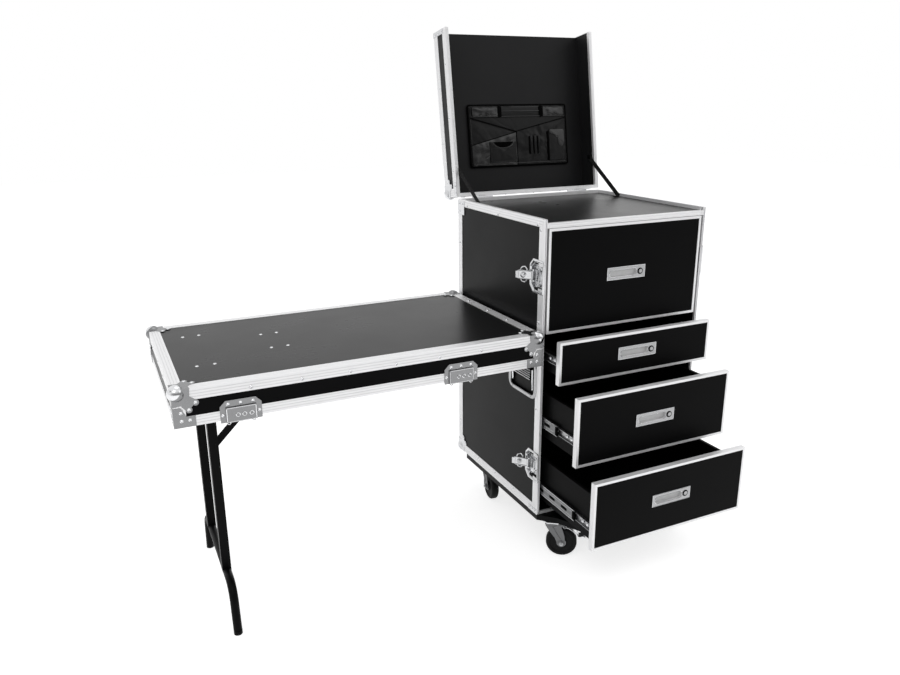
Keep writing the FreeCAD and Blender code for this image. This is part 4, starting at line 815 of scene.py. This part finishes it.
def organiser_pads(soft, shade_and_black, gloss, matrix, scoop):
    """Panels, pockets, pen loops, flap and straps: outline, spacing, base, height, puff, rings, ripple."""
    small = [(182, 123), (295, 123), (295, 196)] + list(reversed(scoop)) + [(182, 196)]
    tongue = rounded(((438, 236), (502, 236), (502, 186), (490, 172), (476, 178), (470, 206), (456, 222),
                      (438, 222)), 7)
    rows = [
        (soft, rect(103, 107, 522, 330, 9), 9, 0.4, 5.0, 2.0, 9, 0.6),
        (soft, rect(113, 286, 513, 322, 3), 8, 5.5, 2.5, 1.5, 5, 0.6),
        (soft, ((112, 114), (297, 114), (297, 233), (112, 283)), 8, 5.5, 1.5, 2.5, 9, 0.9),
        (gloss, ((112, 113), (296, 113), (296, 229), (112, 187)), 8, 7.0, 4.0, 2.0, 9, 1.8),
        (soft, ((302, 113), (513, 113), (513, 280), (302, 233)), 8, 5.5, 4.0, 2.0, 9, 2.6),
        (soft, small, 7, 9.0, 6.0, 1.5, 6, 0.6),
        (soft, rect(436, 123, 500, 232, 5), 7, 8.0, 8.0, 1.5, 6, 0.6),
        (gloss, tongue, 6, 16.5, 1.8, 1.5, 4, 0.4),
        (gloss, rect(119, 289, 230, 319, 5), 7, 8.0, 4.0, 1.5, 6, 1.2),
        (gloss, rect(412, 289, 507, 319, 5), 7, 8.0, 4.0, 1.5, 6, 1.2),
        (shade_and_black, rect(224, 284, 240, 324, 7), 30, 8.0, 5.0, 1.5, 4, 0.0),
        (shade_and_black, rect(402, 284, 418, 324, 7), 30, 8.0, 5.0, 1.5, 4, 0.0)]
    rows += [(soft, rect(x, 148, x + 11, 216, 4), 6, 9.0, 5.0, 3.0, 4, 0.3) for x in PEN_LOOPS]
    for bm, outline, spacing, base, height, puff, rings, ripple in rows:
        add_pad(bm, divided(outline, spacing), base, height, matrix, puff, rings, ripple)


def organiser_painted_shade(shade_and_black, matrix, scoop):
    """Painted shade: near-black plates in the mouth of the small pocket, in the gaps beside the pen loops and
    along the pouch's side.
    """
    add_plate(shade_and_black, scoop, 9.0, 14.6, matrix, 0.1)
    for x in PEN_LOOPS:
        add_plate(shade_and_black, rect(x - 6, 150, x, 214, 2), 9.0, 12.8, matrix, 0.1)
    add_plate(shade_and_black, rect(429, 124, 437, 230, 2), 9.0, 13.2, matrix, 0.1)


def organiser_bindings(shade_and_black, gloss, matrix, scoop):
    hem = [(184, 196), (184, 125), (293, 125), (293, 196)]
    add_tube(gloss, matrix, lift(hem, 15.4), 1.0, 6)
    add_tube(gloss, matrix, lift(scoop, 15.2), 1.5)
    # The outer binding is a real edge, made near-black to paint the shade along the organiser's sides.
    add_tube(shade_and_black, matrix, lift(divided(rect(105, 109, 520, 328, 8), 12), 5.5), 3.2, closed=True)
    add_tube(gloss, matrix, lift(divided(rect(112, 116, 513, 322, 4), 12), 8.0), 1.1, 6, closed=True)
    # The seams are thin near-black tubes that paint the shadow along them.
    for start, end in (((112, 283), (298, 233)), ((298, 233), (513, 280)), ((298, 231), (112, 187)),
                       ((299, 231), (299, 112))):
        add_tube(shade_and_black, matrix, lift(between(start, end, 12), 11.2), 1.6, 6)
    for start, end in (((240, 306), (404, 306)), ((113, 287), (513, 287)), ((116, 118), (510, 118))):
        add_tube(gloss, matrix, lift(between(start, end, 12), 10.8), 1.5)


def organiser_stitching(bm, matrix):
    for run, height in ((rect(109, 113, 516, 325, 6), 8.5), (rect(186, 126, 291, 172, 2), 17.0),
                        (rect(440, 127, 496, 228, 4), 18.2), (rect(120, 292, 216, 316, 3), 13.6),
                        (rect(412, 292, 508, 316, 3), 13.6)):
        points = lift(divided(run, 3.2), height)
        for k in range(0, len(points) - 1, 2):
            add_tube(bm, matrix, points[k:k + 2], 0.45, 4)


class DRAWERCASE_OT_organiser(Operator):
    """Leathercloth organiser with its pockets, loops and tabs inside the lid"""
    bl_idname = "drawercase.organiser"
    bl_label = "Organiser"

    def execute(self, context):
        # From (across, away from the hinge line, out of the board) on the lid's lining
        matrix = LID @ Matrix(((1, 0, 0, 0), (0, -1, 0, HINGE_Y), (0, 0, -1, LID_FACE_Z), (0, 0, 0, 1)))
        soft, shade_and_black, gloss, stitches = (bmesh.new() for _ in range(4))
        scoop = arc((238, 196), (44, 22), 180, 15, 13)
        organiser_pads(soft, shade_and_black, gloss, matrix, scoop)
        organiser_painted_shade(shade_and_black, matrix, scoop)
        organiser_bindings(shade_and_black, gloss, matrix, scoop)
        organiser_stitching(stitches, matrix)
        leather = finish_piece("organiser_leather", soft, "lid", "leather", 60)
        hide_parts("organiser")
        finish_piece("organiser_painted_shade", shade_and_black, "lid", "void", 60)
        finish_piece("organiser_piping", gloss, "lid", "piping", 60)
        finish_piece("organiser_stitching", stitches, "lid", "thread")
        return {"FINISHED"}


def strap_end(bm, outline, matrix):
    add_plate(bm, outline, 0, 1.4, matrix)
    add_lathe(bm, ((0.1, 1.4), (3.2, 1.4), (3.0, 2.6), (0.1, 3.0)), matrix, 12)


def strap_ribbon(bm, start, end):
    across = (end - start).normalized().cross(Vector(RIGHT)) * (STRAP_W / 2 * MM)
    thick = Vector((STRAP_T / 2 * MM, 0, 0))
    section = ((-1, -0.5), (-0.86, -1), (0.86, -1), (1, -0.5), (1, 0.5), (0.86, 1), (-0.86, 1), (-1, 0.5))
    add_rings(bm, [[middle + across * a + thick * b for a, b in section]
                   for middle in between(start, end, STRAP_PIECES)])


class DRAWERCASE_OT_straps(Operator):
    """Webbing straps that stop the open lid, with their end plates"""
    bl_idname = "drawercase.straps"
    bl_label = "Lid straps"

    def execute(self, context):
        bm, case_plates, lid_plates = bmesh.new(), bmesh.new(), bmesh.new()
        for x, sign in ((STRAP_X, 1), (CASE_W - STRAP_X, -1)):
            start = WORLD @ Vector((x, STRAP_CASE_Y, CASE_H - 10))
            end = LID @ Vector((x, *STRAP_LID))
            strap_ribbon(bm, start, end)
            on_lid = facing((x + sign * 1.2, *STRAP_LID), (sign, 0, 0), UP)
            strap_end(lid_plates, rect(-9, -8, 9, 8), LID @ on_lid)
            foot = facing((x + sign * 10, STRAP_CASE_Y, CASE_H - 11), UP, RIGHT)
            strap_end(case_plates, rect(-12, -9, 7, 9), WORLD @ foot)
        straps = finish_piece("strap_webbing", bm, None, "webbing")
        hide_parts("lid_straps")
        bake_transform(straps)
        finish_piece("strap_foot_plates", case_plates, "case", "powder")
        finish_piece("strap_lid_plates", lid_plates, "lid", "powder")
        return {"FINISHED"}


def dish_outline(inset, front):
    back, top, cut = DISH_BACK - inset, DISH_HALF - inset, DISH_CUT
    return rounded(((front, -top), (back - cut, -top), (back, cut - top), (back, top - cut),
                    (back - cut, top), (front, top)), 5.0)


def latch_dish(bm, matrix):
    """A pressed dish with a beaded rim, its hinge lugs, spring and bolts."""
    levels = ((9.5, 1.5, WELL_BACK), (9.5, 1.5, 0.2), (0, 0, 0.2), (0, 0, 1.4), (2.6, 0.5, 3.4),
              (5.4, 1, 3.4), (8.5, 2, 0.6), (10, 3, DISH_FLOOR))
    add_rings(bm, [placed(matrix, lift(dish_outline(inset, front), height))
                   for inset, front, height in levels])
    for sign in (-1, 1):
        lug = rounded(((50, -6.5), (64, -6.5), (64, 5), (50, 5)), 3)
        add_plate(bm, lug, 0, 5, matrix @ sideways(0, sign * 14.0, 0, sign))
        for u, v in ((16, 36), (30, 41), (50, 34)):
            add_rivet(bm, (u, sign * v, DISH_FLOOR), UP, matrix)
        add_lathe(bm, ((0.1, 0), (7.5, 0), (7.5, 3), (5.5, 4.2), (4.2, 4.2), (3.6, 1.5), (0.1, 1.5)),
                  matrix @ Matrix.Translation((24, sign * 22, DISH_FLOOR)), 16)
    coil = [(u, -17 + k * 34 / 96, out) for k, (u, out) in enumerate(arc((46, -3), 3.4, 0, 30, 97))]
    add_tube(bm, matrix, coil, 0.75, 6)
    for u, width in ((14, 5), (34, 4)):
        bar = matrix @ Matrix.Translation((u, 0, DISH_FLOOR))
        add_plate(bm, rect(-width / 2, -17, width / 2, 17, 1.5), 0, 3.2, bar)
    hook = [(8, 20, -6), (8, 8, -4.5), (8, 4, -2.4), (8, -4, -2.4), (8, -8, -4.5), (8, -20, -6)]
    add_tube(bm, matrix, hook, 1.8)


def latch_arm(bm, matrix):
    """The plate with its rolled edges, curled end, hinge pin and the wing's washer."""
    plate = rounded(((3, -12), (43, -12.4), (52, -9), (52, 9), (43, 12.4), (3, 12)), 3)
    add_plate(bm, plate, -1.0, 1.0, matrix)
    add_plate(bm, plate, -1.0, -1.3, matrix, -0.3)
    for sign in (-1, 1):
        add_tube(bm, matrix, [(4, sign * 12, -1.6), (24, sign * 12.6, -2.0), (42, sign * 12.2, -1.6)], 1.7)
    for along in (43.5, 51.0):
        add_tube(bm, matrix, [(along, -10.5, -1.7), (along, 10.5, -1.7)], 1.9)
    add_bent_strip(bm, matrix, ((44, 0, -2.0), (47.5, 0, -2.9), (51, 0, -2.0)), 20, 1.6)
    add_lathe(bm, ((3.0, -13), (3.0, -12.9), (3.0, 12.9), (3.0, 13)),
              matrix @ Matrix.Rotation(-math.pi / 2, 4, "X"), 14)
    add_lathe(bm, ((4.2, -1.2), (9.5, -1.2), (9.5, -2.6), (8, -3.2), (6.6, -2.6), (4.2, -2.6), (4.2, -1.2)),
              matrix @ Matrix.Translation((LATCH_SEAT, 0, 0)))


def latch_wing(bm, matrix):
    """Two ring ears on the outside of the arm and the cam on the inside."""
    seat = matrix @ Matrix.Translation((LATCH_SEAT, 0, 0))
    add_lathe(bm, ((0.1, -4.4), (2.6, -4.4), (3.2, -7), (4.4, -8), (6.4, -7), (6.4, -3.4), (3.8, -3.0),
                   (3.8, 1.6), (7, 1.6), (7, 4.5), (3, 7), (0.1, 7)), seat)
    for sign in (-1, 1):
        ear = rounded(((-8, 7), (-11, 15), (-3, 24), (6, 22), (11, 14), (8, 7)), 5)
        ring = [(u, sign * v, 3.6 + 0.22 * (v - 7)) for u, v in ear]
        add_tube(bm, seat, ring, 2.0, closed=True)
        add_tube(bm, seat, [(0, sign * 3, 3.2), (0, sign * 9, 3.6)], 3.0)


class DRAWERCASE_OT_latches(Operator):
    """Latch dishes, arms and turning wings on both sides"""
    bl_idname = "drawercase.latches"
    bl_label = "Latches"

    def execute(self, context):
        dishes = bmesh.new()
        for side in SIDES:
            for level, z in LATCH_LEVELS:
                latch_dish(dishes, side_matrix(side) @ Matrix.Translation((0, z, 0)))
                for kind, make in (("arm_", latch_arm), ("wing_", latch_wing)):
                    name = kind + side + "_" + level
                    bm = bmesh.new()
                    make(bm, latch_matrix(side, z))
                    piece = finish_piece(name, bm, "latch_" + name, "latch")
                    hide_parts("latch_" + name)
        dish = finish_piece("latch_dishes", dishes, "case", "latch")
        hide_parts("side_dishes")
        return {"FINISHED"}


def handle_outline(inset, radius):
    (y0, y1), (z0, z1) = HANDLE_Y, HANDLE_Z
    return rect(y0 + inset, z0 + inset, y1 - inset, z1 - inset, radius)


def handle_frame(bm, matrix):
    bead = divided(handle_outline(5.5, 24), 10)
    add_tube(bm, matrix, lift(bead, 0.8), 6.4, 10, closed=True, flat=0.55)
    for u in (HANDLE_Y[0] + 26, HANDLE_Y[1] - 26):
        for v in (HANDLE_Z[0] + 5.5, HANDLE_Z[1] - 5.5):
            add_rivet(bm, (u, v, 3.4), UP, matrix, 0.9)


def handle_well(bm, matrix):
    levels = ((10.5, 18, WELL_BACK), (10.5, 18, 0.2), (2, 24, 0.2), (2, 24, 0.9), (11, 18, 0.9),
              (12, 16, -7.6))
    add_rings(bm, [placed(matrix, lift(handle_outline(inset, radius), height))
                   for inset, radius, height in levels])


def handle_bail(steel, grip, matrix):
    """Two legs on their hinge eyes, and the ribbed grip between them."""
    y0, y1 = HANDLE_Y[0] + 14, HANDLE_Y[1] - 14
    pivot_z, low, high = (HANDLE_Z[0] + rise for rise in (28, 57, 94))
    for y in (y0 + 12, y1 - 4):
        add_tube(steel, matrix, ((y, pivot_z, -3), (y, low, -1), (y, high, -1)), 3.0)
        turn = matrix @ Matrix(((0, 0, 1, y - 3), (1, 0, 0, pivot_z), (0, 1, 0, -4), (0, 0, 0, 1)))
        add_lathe(steel, ((3.4, 0), (3.4, 6), (2.1, 6), (2.1, 0), (3.4, 0)), turn, 14)
    section = [(low, -6), (low, 1.5)]
    for k in range(GRIP_RIBS):
        base = low + 2 + k * GRIP_STEP
        section += [(base, 2.4), (base + 1.6, 4.6), (base + 4.0, 4.6), (base + 5.6, 2.4)]
        # A thin steel bar on each rib paints its highlight in the lit zinc copy.
        z = low + 4.8 + k * GRIP_STEP
        add_tube(steel, matrix, [(y0 + 16, z, 4.9), (y1 - 8, z, 4.9)], 1.4)
    section += [(high, 1.5), (high, -6)]
    add_rings(grip, [placed(matrix, [(y, z, out) for z, out in section]) for y in (y0 + 15, y1 - 7)])


class DRAWERCASE_OT_handles(Operator):
    """Recessed frames and ribbed sprung grips"""
    bl_idname = "drawercase.handles"
    bl_label = "Handles"

    def execute(self, context):
        frames, wells = bmesh.new(), bmesh.new()
        for side in SIDES:
            matrix = side_matrix(side)
            handle_well(wells, matrix)
            handle_frame(frames, matrix)
            steel, grip = bmesh.new(), bmesh.new()
            handle_bail(steel, grip, matrix)
            # The bail's steel, with the rib bars, is in the lit zinc copy: painted highlight.
            piece = finish_piece("bail_steel_" + side, steel, "bail_" + side, "bright")
            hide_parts("bail_" + side)
            # The grip is near-black rubber, which also paints the shade between its ribs.
            finish_piece("bail_grip_" + side, grip, "bail_" + side, "void")
        finish_piece("handle_frames", frames, "case", "handle")
        finish_piece("handle_wells", wells, "case", "bumper")
        return {"FINISHED"}


def castor_fork(bm, bolts, matrix):
    """Two cheeks with axle nuts, a crown and a bridge over the wheel, and the brake's pin."""
    cheek = [(20, -29), (27, -36), (34, -52), (40, -72)] + arc((TRAIL, AXLE_Z), 13, 10, -20, 9)
    cheek = divided(cheek + [(9, -80), (-6, -60), (-18, -43), (-24, -29)], 6)
    for sign in (-1, 1):
        turn = matrix @ sideways(0, sign * CHEEK_Y, 0, sign)
        add_plate(bm, cheek, 0, CHEEK_T, turn, 0.6)
        add_tube(bm, turn, [(2, -40, CHEEK_T), (16, -66, CHEEK_T), (26, -82, CHEEK_T)], 1.8)
        axle = matrix @ sideways(TRAIL, sign * (CHEEK_Y + CHEEK_T), AXLE_Z, sign)
        add_lathe(bm, ((0.1, 0), (11, 0), (11, 1.4), (8.6, 1.6), (0.1, 1.6)), axle, 24)
        add_lathe(bolts, ((0.1, 1.6), (7.6, 1.6), (7.6, 5.2), (6.8, 6.0), (0.1, 6.0)), axle, 6)
        add_lathe(bolts, ((0.1, 6.0), (3.6, 6.0), (3.0, 8.6), (0.1, 8.6)), axle, 12)
    crown = ((0.1, -39), (20, -39), (24, -36.5), (26, -32), (26, -29), (22, -27.5), (22, -25.2), (0.1, -25.2))
    add_lathe(bm, crown, matrix, 32)
    bridge = rounded(((-22, -21), (36, -21), (36, 21), (-22, 21)), 6)
    add_plate(bm, bridge, -39, -29, matrix, 1.0)
    add_lathe(bm, ((3, -21.5), (3, 21.5)), matrix @ sideways(*BRAKE_PIN), 12)


def castor_hub(bm, matrix):
    for sign in (-1, 1):
        add_lathe(bm, HUB_PROFILE, matrix @ sideways(TRAIL, 0, AXLE_Z, sign), 28)


def castor_brake(bm, matrix):
    """A bent lever over the wheel, with a ridged tread and rolled edges."""
    line = [(x, 0, z) for x, z in arc((TRAIL, AXLE_Z), BRAKE_R, 84, -58 / 12, 13)]
    tread = [(line[-1][0] + reach, 0, line[-1][2] + rise) for reach, rise in
             ((4, -2.2), (9, -1.6), (14, 0.8), (19, 0.4), (24, -2.4))]
    add_bent_strip(bm, matrix, line + tread, 29, 2.4)
    for across in (-14.2, 14.2):
        add_tube(bm, matrix, [(x, across, z) for x, _, z in line], 2.1)
    add_tube(bm, matrix, [(tread[-2][0], y, tread[-2][2] + 1.0) for y in (-17, 17)], 1.8)
    add_lathe(bm, ((3.1, -14), (5.4, -14), (5.4, 14), (3.1, 14), (3.1, -14)),
              matrix @ sideways(*BRAKE_PIN), 16)


class DRAWERCASE_OT_castors(Operator):
    """Pressed forks, hub caps and brake levers of the castors"""
    bl_idname = "drawercase.castors"
    bl_label = "Castors"

    def execute(self, context):
        for name in ("front_left", "front_right", "rear_left", "rear_right"):
            matrix = castor_matrix(name)
            steel, bolts, hub = bmesh.new(), bmesh.new(), bmesh.new()
            castor_fork(steel, bolts, matrix)
            castor_hub(hub, matrix)
            finish_piece("castor_bolts_" + name, bolts, "fork_" + name, "pull")
            fork = finish_piece("castor_fork_" + name, steel, "fork_" + name, "fork")
            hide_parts("fork_" + name)
            finish_piece("castor_hub_" + name, hub, "wheel_" + name, "zinc")
            if name.startswith("front"):
                lever = bmesh.new()
                castor_brake(lever, matrix)
                # The brake lever is in the lit zinc copy: a painted highlight along its top.
                brake = finish_piece("castor_brake_" + name, lever, "brake_" + name, "bright")
                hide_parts("brake_" + name)
        return {"FINISHED"}


def slide_rail(edge_highlights, shade_and_black, matrix, low, high, middle):
    out = -low.x
    # Tubes along the rolled edges paint their highlights.
    for offset, inset, radius in ((16.2, 3, 1.1), (8.5, 12, 0.6)):
        for z in (middle - offset, middle + offset):
            add_tube(edge_highlights, matrix, [(low.y + inset, z, out), (high.y - inset, z, out)], radius, 6)
    # Near-black plates sunk in the slots paint the shade inside them.
    place = matrix @ Matrix.Translation((0, 0, out))
    start = low.y + 40
    while start + SLOT_L < high.y - 20:
        add_plate(shade_and_black, rect(start, middle - 4.5, start + SLOT_L, middle + 4.5, 4.4), -0.6, 0.35, place, 0.1)
        start += SLOT_STEP
    # The near-black end bumper is the slide's own plastic.
    add_plate(shade_and_black, rect(low.y - 1, middle - 15, low.y + 11, middle + 15, 5), -3.0, 0.9, place, 0.8)


class DRAWERCASE_OT_slides(Operator):
    """Rolled edges and screws in the lit zinc copy as painted highlights, slots with painted shade, and
    bumpers of the drawer slides
    """
    bl_idname = "drawercase.slides"
    bl_label = "Drawer slides"

    def execute(self, context):
        for number in range(1, 5):
            edge_highlights, shade_and_black, screws = bmesh.new(), bmesh.new(), bmesh.new()
            low, high = case_box("drawer%d_slides" % number)
            face = case_box("drawer%d_trim" % number)[0].y
            middle = (low.z + high.z) / 2
            for side in SIDES:
                matrix = side_matrix(side)
                slide_rail(edge_highlights, shade_and_black, matrix, low, high, middle)
                # Screw heads in the lit zinc copy paint their highlights.
                for reach in SCREW_REACHES:
                    add_rivet(screws, (face + reach, middle, SCREW_OUT), UP, matrix, 1.3)
            finish_piece("slide_edge_highlights_%d" % number, edge_highlights, "slides%d" % number, "bright")
            finish_piece("slide_slots_%d" % number, shade_and_black, "slides%d" % number, "void")
            finish_piece("slide_screws_%d" % number, screws, "drawer%d" % number, "bright")
        return {"FINISHED"}


class DRAWERCASE_OT_pulls(Operator):
    """Rims with painted highlights, pockets painted pale as if lit, and rings of painted shade round the
    buttons of the drawer pulls
    """
    bl_idname = "drawercase.pulls"
    bl_label = "Drawer pulls"

    def execute(self, context):
        for number in range(1, 5):
            drawer = "drawer%d" % number
            low, high = case_box(drawer + "_button")
            face = case_box(drawer + "_fittings")[0].y
            middle = (low + high) / 2
            matrix = WORLD @ sideways(middle.x - PULL_BUTTON_X, face, middle.z, -1)
            rim, recess, ring = bmesh.new(), bmesh.new(), bmesh.new()
            # Tubes round the plate and the pocket's edge paint the highlights of the rims.
            add_tube(rim, matrix, lift(divided(rect(-71, -19, 71, 19, 1.5), 12), 0.1), 0.9, 6, closed=True)
            add_tube(rim, matrix, lift(stadium(-63.5, 41.5, 11.5), 0.1), 0.8, 6, closed=True)
            # A pale floor and wall inside the pocket paint the light it lacks.
            add_plate(recess, stadium(-62.5, 40.5, 10.5), -11.2, -10.5, matrix, 0.1)
            wall = stadium(-62.7, 40.7, 10.7)
            add_rings(recess, [placed(matrix, lift(wall, height)) for height in (-11.0, 0.0)], False)
            # A near-black ring round the button paints the shade around it.
            around = circle((PULL_BUTTON_X - 1, 0), 8.4, 24)
            add_tube(ring, matrix, lift(around, 0.2), 1.8, closed=True)
            finish_piece("pull_rim_highlight_%d" % number, rim, drawer, "bright")
            finish_piece("pull_recess_%d" % number, recess, drawer, "recess")
            finish_piece("pull_shade_ring_%d" % number, ring, drawer, "void")
        return {"FINISHED"}


def ball_cap(bm, corner, signs, matrix):
    """A thin shell over the ball that paints its highlight."""
    centre = Vector(corner) + Vector(signs) * (BALL_R - BALL_OUT)
    shell = [(out, up) for up, out in arc((0, 0), BALL_R + SHELL_T, 0.5, 8, 9)]
    add_lathe(bm, shell, matrix @ facing(centre, -Vector(signs), UP), 24)


def catch_pressing(bm, matrix):
    """The frame, three rings and two hooks pressed into a catch plate."""
    add_tube(bm, matrix, lift(divided(rect(-36.5, 2, 36.5, 38.5), 12), 0), 1.1, 6, closed=True)
    for x in (-9, 7, 25):
        add_tube(bm, matrix, lift(circle((x, 19), 5.0, 18), 0.2), 1.2, 6, closed=True)
    for x in (-33, 29):
        add_tube(bm, matrix, lift(arc((x, 0.5), 4, 20, -25, 9), 0.5), 1.3, 6)


class DRAWERCASE_OT_corners(Operator):
    """Shells that paint highlights on the ball corners, and highlight-painted pressings of the table's catch
    plates
    """
    bl_idname = "drawercase.corners"
    bl_label = "Corners and catches"

    def execute(self, context):
        table, case, lid, catches = (bmesh.new() for _ in range(4))
        for y, sy in ((TABLE_LOW.y, 1), (TABLE_HIGH.y, -1)):
            for x, sx in ((TABLE_LOW.x, 1), (TABLE_HIGH.x, -1)):
                ball_cap(table, (x, y, TABLE_HIGH.z), (sx, sy, -1), WORLD)
            for _, level in LATCH_LEVELS:
                place = sideways(TABLE_LOW.x + level, y - sy * CATCH_OUT, TABLE_LOW.z - CATCH_OUT, -sy)
                catch_pressing(catches, WORLD @ place)
        for x, sx in ((0, 1), (CASE_W, -1)):
            ball_cap(case, (x, CASE_D, 0), (sx, -1, 1), WORLD)
            ball_cap(lid, (x, CASE_D, CASE_H + LID_H), (sx, -1, -1), LID)
        for body, bm in (("table", table), ("case", case), ("lid", lid)):
            finish_piece("ball_highlight_shells_" + body, bm, body, "bright")
        # The catch pressings are in the lit zinc copy: painted highlights on the pressed shapes.
        finish_piece("catch_pressings", catches, "table", "bright")
        return {"FINISHED"}


def make_floor(scene):
    bm = bmesh.new()
    reach = 14.0
    corners = ((-reach, -reach), (reach, -reach), (reach, reach), (-reach, reach))
    bm.faces.new([bm.verts.new((x, y, FLOOR_Z)) for x, y in corners])
    mesh = bpy.data.meshes.new("floor")
    bm.to_mesh(mesh)
    bm.free()
    floor = bpy.data.objects.new("floor", mesh)
    scene.collection.objects.link(floor)
    material, tree, shader, _ = new_material("Pale floor", Roughness=0.9, Specular_IOR_Level=0.0,
                                             Base_Color=(0.8, 0.8, 0.8, 1), Emission_Color=(1, 1, 1, 1))
    path = add_node(tree, "LightPath").outputs
    seen = calc(tree, "MAXIMUM", path["Is Camera Ray"], path["Is Glossy Ray"])
    seen = calc(tree, "MAXIMUM", seen, path["Is Transmission Ray"])
    tree.links.new(calc(tree, "MULTIPLY", seen, 0.72), shader["Emission Strength"])
    mesh.materials.append(material)


def make_world(scene, settings):
    """White to the camera; what is mirrored darkens towards the low front."""
    scene.world = bpy.data.worlds.new("Studio")
    scene.world.use_nodes = True
    tree = scene.world.node_tree
    background = tree.nodes["Background"].inputs
    background["Color"].default_value = (1, 1, 1, 1)
    direction = add_node(tree, "TexCoord").outputs["Generated"]
    parts = add_node(tree, "SeparateXYZ", {0: direction}).outputs
    shade = calc(tree, "MULTIPLY", remap(tree, parts[1], -0.15, -0.75), remap(tree, parts[2], 0.7, 0.2))
    mirrored = calc(tree, "SUBTRACT", 1.0, calc(tree, "MULTIPLY", shade, settings.dim_side))
    path = add_node(tree, "LightPath").outputs
    bounced = calc(tree, "MAXIMUM", path["Is Glossy Ray"], path["Is Transmission Ray"])
    light = remap(tree, bounced, 0.0, 1.0, settings.sky_light, mirrored)
    tree.links.new(remap(tree, path["Is Camera Ray"], 0.0, 1.0, light), background["Strength"])


def make_lamps(scene, settings):
    middle = (CAD_BOX[0] + CAD_BOX[1]) / 2
    for name, place, size, share in (("key", (-2.2, -2.6, 3.4), 2.0, 1.0),
                                     ("fill", (3.0, -2.2, 2.0), 2.4, 0.45),
                                     ("top", (0.3, 0.8, 4.0), 2.6, 0.6)):
        lamp = bpy.data.lights.new(name, "AREA")
        lamp.shape = "SQUARE"
        lamp.size = size
        lamp.energy = settings.key_power * share
        holder = bpy.data.objects.new(name, lamp)
        holder.location = middle + Vector(place)
        holder.rotation_euler = (-Vector(place)).to_track_quat("-Z", "Y").to_euler()
        scene.collection.objects.link(holder)


def make_camera(scene, settings):
    data = bpy.data.cameras.new("camera")
    data.lens = settings.lens
    data.clip_end = 60.0
    camera = bpy.data.objects.new("camera", data)
    turn = Matrix.Rotation(settings.view_turn, 4, "Z")
    rise = Matrix.Rotation(math.pi / 2 - settings.view_rise, 4, "X")
    roll = Matrix.Rotation(settings.view_roll, 4, "Z")
    camera.matrix_world = Matrix.Translation(ORIGIN + Vector(settings.eye)) @ turn @ rise @ roll
    scene.collection.objects.link(camera)
    scene.camera = camera


class DRAWERCASE_OT_stage(Operator):
    """Floor, surroundings, lamps and camera"""
    bl_idname = "drawercase.stage"
    bl_label = "Stage"

    def execute(self, context):
        settings = context.scene.drawer_case_stage
        context.scene.view_settings.view_transform = "Standard"
        make_floor(context.scene)
        make_world(context.scene, settings)
        make_lamps(context.scene, settings)
        make_camera(context.scene, settings)
        return {"FINISHED"}


class DRAWERCASE_PT_panel(Panel):
    """Lists the sizes, colours and operators"""
    bl_label = "Drawer case"
    bl_idname = "DRAWERCASE_PT_panel"
    bl_space_type = "VIEW_3D"
    bl_region_type = "UI"
    bl_category = "Drawer Case"

    def draw(self, context):
        for settings in (context.scene.drawer_case_look, context.scene.drawer_case_stage):
            column = self.layout.column()
            for name in settings.__annotations__:
                column.prop(settings, name)
        for operator in OPERATORS:
            self.layout.operator(operator.bl_idname)


OPERATORS = (DRAWERCASE_OT_finishes, DRAWERCASE_OT_rivets, DRAWERCASE_OT_organiser, DRAWERCASE_OT_straps,
             DRAWERCASE_OT_latches, DRAWERCASE_OT_handles, DRAWERCASE_OT_castors, DRAWERCASE_OT_slides,
             DRAWERCASE_OT_pulls, DRAWERCASE_OT_corners, DRAWERCASE_OT_stage)
CLASSES = (CaseLook, StageSettings) + OPERATORS + (DRAWERCASE_PT_panel,)


def register():
    for cls in CLASSES:
        bpy.utils.register_class(cls)
    bpy.types.Scene.drawer_case_look = PointerProperty(type=CaseLook)
    bpy.types.Scene.drawer_case_stage = PointerProperty(type=StageSettings)


def unregister():
    del bpy.types.Scene.drawer_case_stage
    del bpy.types.Scene.drawer_case_look
    for cls in reversed(CLASSES):
        bpy.utils.unregister_class(cls)


def main():
    register()
    for operator in OPERATORS:
        area, name = operator.bl_idname.split(".")
        getattr(getattr(bpy.ops, area), name)()


if __name__ == "__main__":
    main()
